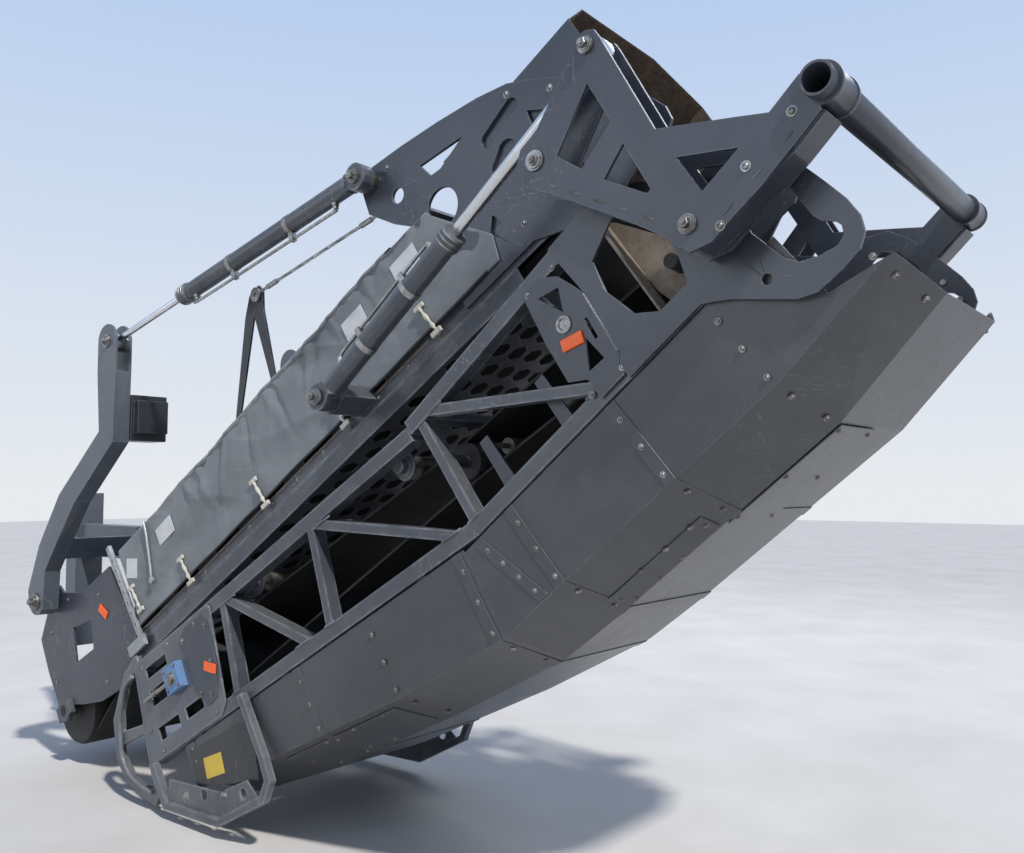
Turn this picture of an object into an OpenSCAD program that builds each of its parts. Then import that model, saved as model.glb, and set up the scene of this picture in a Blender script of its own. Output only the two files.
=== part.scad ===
// Folding discharge conveyor, drawn folded, with its slewing frame
// X runs from the machine towards the fold, Z is up, the near side is -Y, all sizes in mm

/* [Section layout] */
// Slope of the inner section above the ground
incline = 33; // [20:1:42]
// Foot of the inner section's lower edge, along X
inner_x = 1150; // [900:10:1500]
// Foot of the inner section's lower edge, height
inner_z = -160; // [-300:10:0]
// Direction in which the folded outer section points
outer_turn = 219; // [215:1:222]
// Bend between the root part and the tip part of the outer section
kink = 9.3; // [5:0.1:12]
// Length of the root part measured from the fold pin
root_len = 1300; // [1200:10:1500]
// Length of the inner side frames
inner_len = 3900; // [3800:10:3950]

/* [Widths] */
// Width of the belts
belt_w = 900; // [700:10:1000]
// From the belt's edge to the outer face of the inner side frames
side_gap = 55; // [45:1:70]
// From the inner side frames to the outer face of the outer truss
truss_gap = 107; // [100:1:115]
// From the inner side frames to the middle of the lift cylinders
lift_gap = 85; // [80:1:95]
// From the inner side frames to the middle of the fold cylinders
fold_gap = 216; // [210:1:220]
// How far the cross tube runs past the levers
tube_over = 38; // [10:1:60]

/* [Fold levers] */
// Lever pivot along the inner section
a_u = 3966; // [3900:1:4000]
// Lever pivot above the inner section's lower edge
a_v = 48; // [30:1:80]
// Fold pin from the lever pivot along X
b_dx = 540; // [500:5:580]
// Fold pin below the lever pivot
b_dz = -300; // [-340:5:-260]
// Rod pin from the lever pivot along X
d_dx = 197; // [180:1:220]
// Rod pin above the lever pivot
d_dz = 322; // [300:1:340]
// Cross tube from the lever pivot along X
t_dx = 929; // [900:1:950]
// Cross tube above the lever pivot
t_dz = 6; // [-20:1:30]
// Radius of the cross tube
tube_r = 47; // [40:1:48]
// Wall of the cross tube
tube_wall = 8; // [4:1:12]
// Thickness of the lever plates
lever_t = 12; // [8:1:16]
// Radius of the lever pivot
a_r = 28; // [22:1:32]
// Radius of the fold pin
b_r = 24; // [20:1:30]
// Radius of the rod pin
d_r = 22; // [16:1:26]

/* [Lift cylinders] */
// Barrel pin along the inner section
e_u = 3205; // [3190:5:3220]
// Barrel pin above the inner section's lower edge
e_v = 793; // [785:1:800]
// Rod pin on the slewing frame along X
g_x = 1530; // [1500:5:1560]
// Rod pin on the slewing frame, height
g_z = 1760; // [1740:5:1780]
// Radius of the lift barrels
lift_r = 40; // [32:1:44]
// Radius of the lift rods
lift_rod_r = 16; // [12:1:28]
// Length of the lift barrels
lift_len = 1290; // [1200:10:1400]

/* [Fold cylinders] */
// Barrel pin along the inner section
f_u = 2679; // [2600:5:2750]
// Barrel pin above the inner section's lower edge
f_v = 59; // [50:1:70]
// Radius of the fold barrels
fold_r = 42; // [32:1:46]
// Radius of the fold rods
fold_rod_r = 24; // [16:1:28]
// Length of the fold barrels
fold_len = 870; // [800:10:880]

/* [Truss and hood] */
// Size of the square chord tubes
chord = 60; // [45:5:64]
// Size of the square brace tubes
brace = 40; // [30:5:50]
// Working side chord of the root part
top_t = 94; // [90:1:100]
// Lower chord of the root part
low_t = -400; // [-410:5:-390]
// Lower chord of the tip part below its top chord
tip_low = -430; // [-440:5:-420]
// Top of the hood over the root part
hood_t = 580; // [560:5:600]
// Thickness of the sheet metal
sheet = 4; // [3:0.5:6]

/* [Belts and drums] */
// Thickness of the belts
belt_t = 10; // [6:1:14]
// Radius of the tail drum
tail_r = 185; // [150:5:190]
// Radius of the fold end roller
roller_r = 90; // [70:5:92]
// Radius of the head drum
head_r = 140; // [120:5:145]

/* [Slewing frame] */
// Bore of the king pin lugs
king_r = 40; // [25:1:60]
// Height of the upper king lug
king_z = 880; // [800:10:900]
// Radius of the foot pins
foot_r = 30; // [20:1:40]

/* [Hidden] */
$fn = 48;

fit = 0.3;
end_t = 16;
side_y = belt_w / 2 + side_gap;
truss_y = side_y + truss_gap;
lift_y = side_y + lift_gap;
fold_y = side_y + fold_gap;
ep_y = side_y + end_t;
skirt_y = ep_y + 9;
roof_y = side_y - 35;
lev_in = fold_y - 54 - lever_t;
lev_out = fold_y + 54;
tube_len = 2 * (lev_out + lever_t + tube_over);
plate_t = 12;
tail_c = [-146, 15];
nip_c = [450, -4];
nip_r = 16;
fold_c = [inner_len - 12, 110];
turn_c = [150, -60];
bend_r = 70;
tip_x = 81;
mast_y = side_y - 65;

function inner_p(u, v) = [inner_x + u * cos(incline) - v * sin(incline),
    inner_z + u * sin(incline) + v * cos(incline)];
a_pt = inner_p(a_u, a_v);
b_pt = a_pt + [b_dx, b_dz];
d_pt = a_pt + [d_dx, d_dz];
t_pt = a_pt + [t_dx, t_dz];
e_pt = inner_p(e_u, e_v);
f_pt = inner_p(f_u, f_v);
g_pt = [g_x, g_z];
p_u = 20;
p_v = 610;
p_pt = inner_p(p_u, p_v);

// Helpers
module slab(y0, y1) {
    translate([0, y1, 0]) rotate([90, 0, 0]) linear_extrude(y1 - y0) children();
}
module both(y0, y1) {
    slab(y0, y1) children();
    slab(-y1, -y0) children();
}
module bar(p, q, w) {
    d = q - p;
    translate(p) rotate(atan2(d[1], d[0])) translate([0, -w / 2]) square([norm(d), w]);
}
module disc(p, r) {
    translate(p) circle(r);
}
module inner_at() {
    translate([inner_x, 0, inner_z]) rotate([0, -incline, 0]) children();
}
module lever_at() {
    translate([a_pt[0], 0, a_pt[1]]) children();
}
module outer_at() {
    translate([b_pt[0], 0, b_pt[1]]) rotate([0, -outer_turn, 0]) children();
}
module tip_at() {
    outer_at() translate([root_len, 0, top_t]) rotate([0, kink, 0]) children();
}
module rod_at(p, q) {
    d = q - p;
    translate([p[0], 0, p[1]]) rotate([0, -atan2(d[1], d[0]), 0]) children();
}
// Solid through six-cornered sections, its sides split into triangles
module skin(secs) {
    n = len(secs);
    polyhedron([for (c = secs) each c], concat([[5, 4, 3, 2, 1, 0]], [[for (i = [0:5]) 6 * (n - 1) + i]],
        [for (k = [0:n - 2], i = [0:5]) [6 * k + i, 6 * k + (i + 1) % 6, 6 * k + 6 + (i + 1) % 6]],
        [for (k = [0:n - 2], i = [0:5]) [6 * k + i, 6 * k + 6 + (i + 1) % 6, 6 * k + 6 + i]]));
}
// Section of a hood: hem, shoulder and top, each as half width and height
function hood_sec(x, hem, sh, top, e) = [[x, -hem[0] + e, hem[1] - e / 4], [x, -sh[0] + e, sh[1] - e / 4],
    [x, -top[0] + e / 2, top[1] - e], [x, top[0] - e / 2, top[1] - e], [x, sh[0] - e, sh[1] - e / 4],
    [x, hem[0] - e, hem[1] - e / 4]];

// Slewing frame
module slew_frame() {
    arm = [[1440, 1600], [1620, 1600], [1610, 1230], [1230, 913], [1060, 707], [925, 534], [910, 320],
        [760, 320], [735, 415], [850, 674], [1060, 956], [1470, 1290]];
    color("#5c6269") {
        both(lift_y - 45, lift_y + 45) difference() {
            union() {
                polygon(arm);
                disc(p_pt, 76);
            }
            disc(p_pt, foot_r + fit);
        }
        for (y = [lift_y - 45, lift_y + 33]) both(y, y + 12) difference() {
            union() {
                translate([g_x - 90, 1600]) square([180, g_z - 1600]);
                disc(g_pt, 90);
            }
            disc(g_pt, d_r + fit);
        }
        slab(-lift_y + 45, lift_y - 45) difference() {
            translate([860, 600]) square([110, 110]);
            translate([868, 608]) square([94, 94]);
        }
        slab(-60, 60) translate([190, 560]) square([670, 200]);
        slab(-90, 90) translate([70, -20]) square([120, king_z + 100]);
        for (z = [0, king_z]) translate([0, 0, z]) difference() {
            union() {
                cylinder(r = king_r + 40, h = 40);
                translate([0, -king_r - 40, 0]) cube([70, 2 * king_r + 80, 40]);
            }
            translate([0, 0, -1]) cylinder(r = king_r, h = 42);
        }
    }
}
module foot_pins() {
    color("#9aa0a4") {
        both(ep_y + 0.3 - end_t - 8, lift_y + 45) disc(p_pt, foot_r);
        both(lift_y + 45, lift_y + 57) disc(p_pt, foot_r + 16);
        both(side_y - 12, side_y - 8) disc(p_pt, foot_r + 12);
    }
}
module lift_pins() {
    color("#9aa0a4") {
        for (y = [lift_y - 45, lift_y + 29]) both(y, y + 16) disc(g_pt, d_r);
        both(lift_y + 45, lift_y + 53) disc(g_pt, d_r + 14);
    }
}
module slew_block() {
    color("#4d5257") {
        slab(-lift_y + 45, -lift_y + 245) translate([1480, 1240]) square([150, 240]);
        slab(-lift_y + 60, -lift_y + 230) translate([1630, 1280]) square([40, 170]);
    }
}

// Inner section
module inner_side_frames() {
    color("#464b55") inner_at() both(side_y - 8, side_y) difference() {
        square([inner_len, 190]);
        for (i = [0:5]) translate([700 + i * 380, 60]) square([220, 60]);
        disc(fold_c, 24 + fit);
    }
}
module inner_cross_members() {
    color("#3d424a") inner_at() {
        for (u = [640, 1800, 2960]) slab(-side_y + 8, side_y - 8) difference() {
            translate([u, 70]) square([60, 60]);
            translate([u + 5, 75]) square([50, 50]);
        }
        both(side_y, fold_y - 45) translate([f_u - 62, f_v - 32]) square([124, 64]);
        both(fold_y - 45, fold_y + 45) disc([f_u, f_v], d_r);
        both(fold_y + 45, fold_y + 55) disc([f_u, f_v], d_r + 10);
    }
}
module inner_end_plates() {
    plate = [[3140, 800], [3205, 858], [3405, 800], [3598, 735], [3794, 660], [3924, 595], [4031, 505],
        [4131, 400], [4225, 274], [4312, 104], [4337, 28], [4331, -25], [4305, -45], [4085, -60], [3966, -75],
        [3860, -60], [3700, 20], [3320, 20], [3330, 420], [3205, 560], [3120, 690]];
    color("#464b55") inner_at() both(side_y, ep_y) difference() {
        polygon(plate);
        disc([e_u, e_v], d_r);
        disc([a_u, a_v], a_r);
        disc([3286, 640], 32);
        polygon([[3439, 655], [3662, 590], [3512, 566], [3460, 580]]);
        bar([3745, 484], [3890, 510], 60);
        disc([3745, 484], 31);
        disc([3890, 510], 31);
        polygon([[3934, 439], [4012, 365], [3911, 335]]);
        bar([3730, 350], [3790, 385], 80);
        disc([3730, 350], 41.5);
        disc([3790, 385], 41.5);
        disc([3440, 430], 78);
        polygon([[3607, 233], [3641, 138], [3604, 98], [3560, 180]]);
    }
}
module lever_shafts() {
    color("#8b9095") inner_at() {
        both(side_y, lev_out + lever_t + 14) disc([a_u, a_v], a_r);
        both(ep_y, lev_in - 5) difference() {
            disc([a_u, a_v], a_r + 34);
            disc([a_u, a_v], a_r);
        }
        both(lev_out + lever_t + 1, lev_out + lever_t + 8) difference() {
            disc([a_u, a_v], a_r + 6);
            disc([a_u, a_v], a_r);
        }
        both(side_y, lift_y + 30) disc([e_u, e_v], d_r);
        both(ep_y, lift_y - 29) difference() {
            disc([e_u, e_v], d_r + 20);
            disc([e_u, e_v], d_r);
        }
        both(lift_y + 30, lift_y + 38) disc([e_u, e_v], d_r + 8);
    }
}
module inner_hood() {
    color("#565b66") inner_at() difference() {
        skin([for (x = [3530, 4240]) hood_sec(x, [side_y, 191], [side_y, 590], [side_y - 235, 785], 0)]);
        skin([for (x = [3520, 4250]) hood_sec(x, [side_y, 190], [side_y, 590], [side_y - 235, 785], sheet)]);
    }
}
module cover_tarpaulin() {
    w = ep_y + 6.3;
    color("#8f9395") inner_at() difference() {
        translate([3580, 0, 0]) rotate([90, 0, -90]) linear_extrude(2836) difference() {
            polygon([[-w, 60], [-w, 500], [-roof_y, 545], [roof_y, 545], [w, 500], [w, 60]]);
            polygon([[-w + 6, 59], [-w + 6, 498], [-roof_y + 2, 539], [roof_y - 2, 539], [w - 6, 498],
                [w - 6, 59]]);
        }
        slab(-700, 700) polygon([[3366, 600], [3366, 500], [3379, 441], [3450, 338], [3574, 167], [3544, 52],
            [3700, 52], [3700, 600]]);
        both(side_y - 1, ep_y + 20) translate([3100, 480]) square([300, 100]);
        both(ep_y - 10, ep_y + 20) translate([f_u - 90, 20]) square([180, 105]);
        for (u = [1836, 2156]) both(mast_y - 2, mast_y + 14) translate([u, 530]) square([60, 30]);
    }
}
module cover_bows() {
    color("#3d424a") inner_at() for (u = [760, 1400, 1840, 2160, 2920, 3310]) translate([u + 40, 0, 0])
        rotate([90, 0, -90]) linear_extrude(40) difference() {
            polygon([[-side_y, 190], [-side_y, 498], [-roof_y + 2, 538.7], [roof_y - 2, 538.7], [side_y, 498],
                [side_y, 190]]);
            polygon([[-side_y + 20, 189], [-side_y + 20, 488], [-roof_y + 10, 519], [roof_y - 10, 519], [side_y - 20, 488],
                [side_y - 20, 189]]);
        }
}
module stay_masts() {
    color("#33373d") inner_at() both(mast_y, mast_y + 12) difference() {
        polygon([[1840, 539], [1880, 539], [2230, 900], [2168, 539], [2200, 539], [2300, 880], [2345, 960],
            [2330, 1000], [2250, 1000], [2170, 930]]);
        disc([2300, 965], 10);
    }
}
module stay_ropes() {
    p = [2332, 956];
    q = [3138, 704];
    d = q - p;
    color("#8a8d90") inner_at() {
        for (s = [-1, 1]) translate([p[0], s * (mast_y + 19), p[1]]) rotate([0, 90 - atan2(d[1], d[0]), 0]) {
            cylinder(r = 6, h = norm(d));
            translate([0, 0, 60]) cylinder(r = 12, h = 70);
            translate([0, 0, norm(d) - 130]) cylinder(r = 12, h = 70);
        }
        both(mast_y + 12, mast_y + 26) difference() {
            disc([2300, 965], 34);
            disc([2300, 965], 10);
        }
        both(mast_y + 10, side_y) bar([3138, 704], [3180, 704], 40);
    }
}
module tail_plates() {
    plate = [[-235, 90], [-250, 300], [-243, 494], [-100, 590], [-55, 660], [20, 690], [95, 660], [120, 600],
        [300, 500], [620, 480], [690, 60], [620, -40], [520, -112], [400, -122], [198, -95], [0, -20]];
    color("#3f444d") inner_at() {
        both(side_y + 6, ep_y + 4) difference() {
            polygon(plate);
            disc([p_u, p_v], foot_r + fit);
            disc(tail_c, 40);
            polygon([[60, 200], [260, 180], [320, 330], [120, 380]]);
        }
        both(side_y, side_y + 6) square([560, 50]);
    }
}
module tail_drum() {
    color("#2b2d30") inner_at() {
        slab(-belt_w / 2 - 20, belt_w / 2 + 20) disc(tail_c, tail_r);
        both(belt_w / 2 + 20, side_y + 50) disc(tail_c, 30);
    }
}
module tail_bearings() {
    color("#5a5f66") inner_at() both(ep_y + 4, ep_y + 34) difference() {
        union() {
            disc(tail_c, 58);
            translate(tail_c - [70, 40]) square([140, 80]);
        }
        disc(tail_c, 30 + fit);
    }
}
module fold_roller() {
    color("#2b2d30") inner_at() {
        slab(-belt_w / 2 - 20, belt_w / 2 + 20) disc(fold_c, roller_r);
        both(belt_w / 2 + 20, side_y) disc(fold_c, 24);
    }
}
module nip_roller() {
    down_in = atan2(nip_c[1] - tail_c[1], nip_c[0] - tail_c[0]) + asin((tail_r - nip_r) / norm(nip_c - tail_c));
    down_out = atan2(fold_c[1] - nip_c[1], fold_c[0] - nip_c[0]) + asin((nip_r - roller_r) / norm(fold_c - nip_c));
    mid = (down_in + down_out) / 2;
    c = nip_c + (nip_r + belt_t + 1.2 + 40) / cos((down_in - down_out) / 2) * [sin(mid), -cos(mid)];
    color("#2b2d30") inner_at() {
        slab(-belt_w / 2 - 20, belt_w / 2 + 20) disc(c, 40);
        both(belt_w / 2 + 20, side_y + 6) disc(c, 16);
    }
}
module inner_loop(e) {
    hull() {
        disc(tail_c, tail_r + e);
        disc(nip_c, nip_r + e);
    }
    hull() {
        disc(nip_c, nip_r + e);
        disc(fold_c, roller_r + e);
    }
    polygon([tail_c + [0, tail_r + e - 0.5], fold_c + [0, roller_r + e - 0.5], fold_c, nip_c, tail_c]);
}
module inner_belt() {
    color("#1b1c1e") inner_at() slab(-belt_w / 2, belt_w / 2) difference() {
        inner_loop(belt_t + 0.8);
        inner_loop(0.8);
    }
}
module inner_idlers() {
    color("#6a6e73") inner_at() for (u = [900, 1500, 2100, 2700, 3300]) {
        h = 200 + 0.2 - 31.3;
        slab(-side_y + 8, side_y - 8) disc([u, h], 10);
        slab(-belt_w / 2 + 20, belt_w / 2 - 20) difference() {
            disc([u, h], 31);
            disc([u, h], 10);
        }
    }
}
module perforated_guard() {
    color("#3a3e46") inner_at() {
        translate([0, 0, -76]) linear_extrude(5) difference() {
            translate([620, -side_y]) square([2960, 2 * side_y]);
            for (i = [0:23], j = [-4:4]) translate([710 + i * 120, j * 104 + (i % 2) * 52 - 26])
                circle(r = 46, $fn = 6);
        }
        both(side_y - 5, side_y) translate([620, -71]) square([2960, 71]);
    }
}
module tail_strips() {
    color("#a9adb0") inner_at() both(ep_y + 4, ep_y + 24) difference() {
        union() {
            bar([682, 560], [732, -10], 30);
            translate([600, -45]) square([160, 60]);
        }
        for (i = [0:6]) disc([690 + i * 6, 470 - i * 65], 7);
    }
}

// Lift cylinders
module lift_barrels() {
    color("#454a53") rod_at(e_pt, g_pt) {
        both(lift_y - 28, lift_y + 29) difference() {
            union() {
                disc([0, 0], 56);
                translate([0, -34]) square([62, 68]);
            }
            disc([0, 0], d_r + fit);
        }
        for (s = [-1, 1]) translate([60, s * lift_y, 0]) rotate([0, 90, 0]) difference() {
            union() {
                cylinder(r = lift_r, h = lift_len - 60);
                translate([0, 0, lift_len - 120]) cylinder(r = lift_r + 7, h = 60);
            }
            translate([0, 0, 25]) cylinder(r = lift_rod_r + fit, h = lift_len);
        }
    }
}
module lift_rods() {
    reach = norm(g_pt - e_pt);
    color("#c9ccce") rod_at(e_pt, g_pt) {
        for (s = [-1, 1]) translate([400, s * lift_y, 0]) rotate([0, 90, 0])
            cylinder(r = lift_rod_r, h = reach - 400 - 30);
        both(lift_y - 27, lift_y + 27) disc([reach, 0], 50);
    }
}

// Fold cylinders
module fold_barrels() {
    color("#454a53") rod_at(f_pt, d_pt) {
        both(fold_y - 40, fold_y + 40) difference() {
            union() {
                disc([0, 0], 54);
                translate([0, -36]) square([62, 72]);
            }
            disc([0, 0], d_r + fit);
        }
        for (s = [-1, 1]) translate([60, s * fold_y, 0]) rotate([0, 90, 0]) difference() {
            union() {
                cylinder(r = fold_r, h = fold_len - 60);
                translate([0, 0, fold_len - 120]) cylinder(r = fold_r + 5, h = 60);
            }
            translate([0, 0, 25]) cylinder(r = fold_rod_r + fit, h = fold_len);
        }
    }
}
module fold_rods() {
    reach = norm(d_pt - f_pt);
    color("#c9ccce") rod_at(f_pt, d_pt) {
        for (s = [-1, 1]) translate([fold_len - 95, s * fold_y, 0]) rotate([0, 90, 0])
            cylinder(r = fold_rod_r, h = reach - fold_len + 95 - 30);
        both(fold_y - 30, fold_y + 30) disc([reach, 0], 44);
    }
}

// Fold levers
module lever_outline() {
    difference() {
        union() {
            polygon([[190, 366], [225, 366], [247, 333], [437, 0], [685, -26], [786, -38], [871, 45], [930, -64],
                [830, -165], [760, -235], [681, -300], [614, -360], [543, -382], [500, -344], [347, -257], [46, -111],
                [-40, -80], [-75, 0], [-60, 50], [5, 100], [152, 327]]);
            disc([t_dx, t_dz], tube_r + 12);
            disc([b_dx, b_dz], b_r + 45);
            disc([0, 0], a_r + 38);
            disc([d_dx, d_dz], d_r + 26);
        }
        polygon([[200, 201], [286, 60], [180, -65], [84, -3]]);
        polygon([[328, -17], [422, -176], [409, -185], [260, -113]]);
        polygon([[505, -99], [699, -114], [585, -215]]);
        disc([t_dx, t_dz], tube_r + fit);
        disc([0, 0], a_r + fit);
        disc([b_dx, b_dz], b_r);
        disc([d_dx, d_dz], d_r);
    }
}
module lever_plates() {
    color("#4a4f5a") lever_at() {
        both(lev_in, lev_in + lever_t) lever_outline();
        both(lev_out, lev_out + lever_t) lever_outline();
        both(lev_in + lever_t, lev_out) difference() {
            union() {
                bar([560, -372], [845, -158], 10);
                bar([845, -158], [936, -66], 10);
                disc([b_dx, b_dz], b_r + 20);
                disc([t_dx, t_dz], tube_r + 8);
            }
            disc([b_dx, b_dz], b_r);
            disc([t_dx, t_dz], tube_r + fit);
        }
    }
}
module cross_tube() {
    color("#4f545e") lever_at() slab(-tube_len / 2, tube_len / 2) difference() {
        disc([t_dx, t_dz], tube_r);
        disc([t_dx, t_dz], tube_r - tube_wall);
    }
}
module lever_pins() {
    color("#9aa0a4") lever_at() {
        both(truss_y - 12, lev_out + lever_t) disc([b_dx, b_dz], b_r);
        both(lev_out + lever_t, lev_out + lever_t + 7) disc([b_dx, b_dz], b_r + 6);
        both(lev_in, lev_in + lever_t) disc([d_dx, d_dz], d_r);
        both(lev_out, lev_out + lever_t) disc([d_dx, d_dz], d_r);
        both(lev_out + lever_t, lev_out + lever_t + 7) disc([d_dx, d_dz], d_r + 6);
    }
}

// Outer section
module outer_end_plates() {
    plate = [[-326, 277], [-305, 323], [-264, 350], [-198, 357], [-110, 355], [-58, 329], [83, 183],
        [160, 124], [480, 124], [480, 64], [455, 40], [431, -216], [440, -370], [440, -430], [180, -430],
        [60, -330], [-60, -190], [-180, -170], [-262, -120], [-295, -38], [-310, 48], [-322, 135],
        [-330, 217]];
    pear = [[-84, 80], [-105, 209], [-127, 251], [-175, 279], [-228, 296], [-260, 287], [-273, 262],
        [-268, 240], [-243, 210], [-236, 180], [-245, 66], [-232, -30], [-195, -75], [-140, -70], [-106, 0]];
    color("#454a55") outer_at() both(truss_y, truss_y + plate_t) difference() {
        union() {
            polygon(plate);
            disc([0, 0], 88);
        }
        disc([0, 0], b_r + fit);
        polygon([[110, -255], [200, -320], [345, -265], [370, -150], [340, -20], [270, 40], [150, 40],
            [112, -60]]);
        polygon(pear);
        disc([-31, 219], 16);
    }
}
module skirt_plates() {
    color("#6b5c48") outer_at() {
        both(skirt_y, skirt_y + 6) difference() {
            polygon([[250, -375], [228, -352], [105, -125], [90, -20], [150, 30], [240, 30], [262, -60],
                [262, -375]]);
            disc(turn_c, 26);
        }
        both(skirt_y + 6, truss_y) bar([256, -372], [274, 60], 8);
    }
}
module outer_gussets() {
    color("#484e5a") outer_at() both(truss_y, truss_y + 10) difference() {
        polygon([[530, -385], [470, -330], [432.5, -216], [456.5, 38], [481.5, 62], [481.5, 100], [600, 100],
            [600, 21], [664, -25], [650, -190], [617, -385]]);
        polygon([[510, 10], [580, 5], [520, -90]]);
        polygon([[492, -300], [575, -330], [530, -220]]);
        bar([480, -140], [490, -60], 14);
    }
}
module outer_truss() {
    color("#4a4f5a") {
        outer_at() both(truss_y - chord, truss_y) {
            bar([150, top_t], [root_len, top_t], chord);
            bar([350, low_t], [root_len + 20, low_t], chord);
            bar([root_len - 90, low_t + 10], [560, top_t - 10], brace);
            bar([root_len - 45, low_t], [root_len - 25, top_t], brace);
        }
        tip_at() both(truss_y - chord, truss_y) {
            bar([0, 0], [2310, 0], chord);
            bar([100, tip_low - 30], [2230, tip_low], chord);
            bar([740, tip_low + 10], [70, -10], brace);
            bar([778, tip_low], [863, 0], brace);
            bar([1440, tip_low + 10], [1000, -10], brace);
            bar([1470, tip_low], [1560, 0], brace);
            bar([2215, tip_low - 30], [2298, 20], 46);
        }
    }
}
module outer_cross_tubes() {
    color("#3d424a") {
        outer_at() for (p = [[640, low_t], [root_len - 45, low_t], [620, top_t]])
            slab(-truss_y + chord, truss_y - chord) translate(p - [20, 20]) square([40, 40]);
        tip_at() for (p = [[778, tip_low], [1440, tip_low]])
            slab(-truss_y + chord, truss_y - chord) translate(p - [20, 20]) square([40, 40]);
    }
}
// The root hood ends on the plane where the tip hood starts, so both keep one shape there
function to_root(p) = [root_len + p[0] * cos(kink) + p[2] * sin(kink), p[1],
    top_t - p[0] * sin(kink) + p[2] * cos(kink)];
hem_y = truss_y - 8;
sh_y = hem_y - 30;
top_y = hem_y - 304;
module root_solid(e, d) {
    skin([hood_sec(-316 - d, [hem_y, 130 - d / 10], [sh_y, 395], [top_y, hood_t - 80], e),
        hood_sec(144, [hem_y, 130 - d / 10], [sh_y, 450], [top_y, hood_t], e),
        hood_sec(root_len - 144, [hem_y, 130 - d / 10], [sh_y, 450], [top_y, hood_t + 4], e),
        [for (q = hood_sec(tip_x - 0.3 + d, [hem_y, 50 - d / 10], [sh_y, 380], [top_y, 500], e)) to_root(q)]]);
}
module hood_root() {
    color("#565c68") outer_at() difference() {
        root_solid(0, 0);
        root_solid(sheet, 10);
        slab(-700, 700) polygon([[-345, 100], [-345, 402], [-305, 400], [-120, 360], [-120, 100]]);
    }
}
module tip_solid(e, d) {
    skin([hood_sec(tip_x - d, [hem_y, 38 - d / 10], [sh_y, 380], [top_y, 500], e),
        hood_sec(665, [hem_y, 38 - d / 10], [sh_y, 365], [top_y, 480], e),
        hood_sec(1500, [hem_y, 38 - d / 10], [hem_y - 18, 300], [top_y, 412], e),
        hood_sec(2050 + d, [hem_y, 38 - d / 10], [hem_y - 6, 185], [top_y, 320], e)]);
}
module hood_tip() {
    color("#5a606c") tip_at() difference() {
        tip_solid(0, 0);
        tip_solid(sheet, 10);
    }
}
module hood_hangers() {
    color("#3d424a") {
        outer_at() for (s = [250, 900]) both(truss_y - 34, hem_y - 5.1)
            translate([s, top_t + chord / 2]) square([50, 14]);
        tip_at() for (s = [300, 1200, 1900]) both(truss_y - 34, hem_y - 4.9) translate([s, chord / 2])
            square([50, 14]);
    }
}
module tip_plates() {
    color("#464b55") tip_at() both(truss_y, truss_y + 8) difference() {
        polygon([[1560, -440], [1640, -20], [1700, 24], [2290, 24], [2320, 0], [2230, -455], [1580, -460]]);
        disc([1934, -258], 52);
        translate([1990, -400]) square([190, 50]);
        translate([2010, -290]) square([180, 74]);
        translate([1800, -110]) square([150, 50]);
        translate([2010, -110]) square([190, 60]);
    }
}
module tip_covers() {
    color("#4d525e") tip_at() both(truss_y + 8, truss_y + 12) polygon([[1600, -400], [1620, -180], [1680, -60],
        [1760, -50], [1830, -140], [1850, -400], [1780, -440], [1640, -440]]);
}
module head_drum() {
    color("#2b2d30") tip_at() {
        slab(-belt_w / 2 - 20, belt_w / 2 + 20) disc([1934, -258], head_r);
        slab(-truss_y - 50, -belt_w / 2 - 20) disc([1934, -258], 30);
        slab(belt_w / 2 + 20, truss_y + 50) disc([1934, -258], 30);
    }
}
module head_bearings() {
    color("#2f6fb0") tip_at() both(truss_y + 8, truss_y + 46) difference() {
        union() {
            translate([1934 - 62, -258 - 62]) square([124, 124]);
        }
        disc([1934, -258], 30);
    }
}
module take_up_screws() {
    color("#b9bdc0") tip_at() for (s = [-1, 1]) translate([1996.3, s * (truss_y + 24), -258])
        rotate([0, 90, 0]) cylinder(r = 10, h = 225);
}
module guard_loops() {
    pts = [[1500, 0], [1481, 295], [1485, 385], [1560, 440], [1904, 426], [2270, 228], [2293, 24.6]];
    color("#4f545e") tip_at() {
        both(truss_y, truss_y + 34) {
            for (i = [0:4]) bar(pts[i], pts[i + 1], 34);
            for (i = [1:5]) disc(pts[i], 18);
            intersection() {
                bar(pts[5], pts[6] - [0, 30], 34);
                translate([2000, 24.6]) square([400, 300]);
            }
        }
        both(truss_y + 10, truss_y + 16) difference() {
            polygon([[1640, 330], [1850, 310], [2200, 130], [2270, 215], [1904, 410], [1600, 425]]);
            for (i = [0:3]) disc([1690 + i * 140, 372 - i * 44], 24);
        }
    }
}
module guard_arches() {
    color("#4f545e") tip_at() both(truss_y - 34, truss_y) difference() {
        polygon([[2240, -500], [2380, -470], [2470, -400], [2585, -300], [2640, -119], [2600, 0], [2510, 106],
            [2400, 200], [2344, 160], [2323.1, 26], [2238.1, -464]]);
        polygon([[2290, -430], [2390, -410], [2500, -310], [2540, -220], [2330, -180]]);
        polygon([[2340, -140], [2570, -160], [2580, -110], [2540, 0], [2460, 80], [2380, 120]]);
    }
}
module outer_roller() {
    color("#2b2d30") outer_at() {
        slab(-belt_w / 2 - 20, belt_w / 2 + 20) difference() {
            disc(turn_c, roller_r);
            disc(turn_c, 24 + fit);
        }
        slab(-truss_y, truss_y) disc(turn_c, 24);
        slab(-belt_w / 2 - 20, belt_w / 2 + 20) difference() {
            disc(bend_c, bend_r);
            disc(bend_c, 24 + fit);
        }
        slab(-truss_y + chord, truss_y - chord) disc(bend_c, 24);
    }
}
head_c = [root_len, top_t] + [1934 * cos(kink) - 258 * sin(kink), -1934 * sin(kink) - 258 * cos(kink)];
bend_c = [root_len - 35, -195];
module outer_loop(e) {
    hull() {
        disc(turn_c, roller_r + e);
        disc(bend_c, bend_r + e);
    }
    hull() {
        disc(bend_c, bend_r + e);
        disc(head_c, head_r + e);
    }
}
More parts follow.
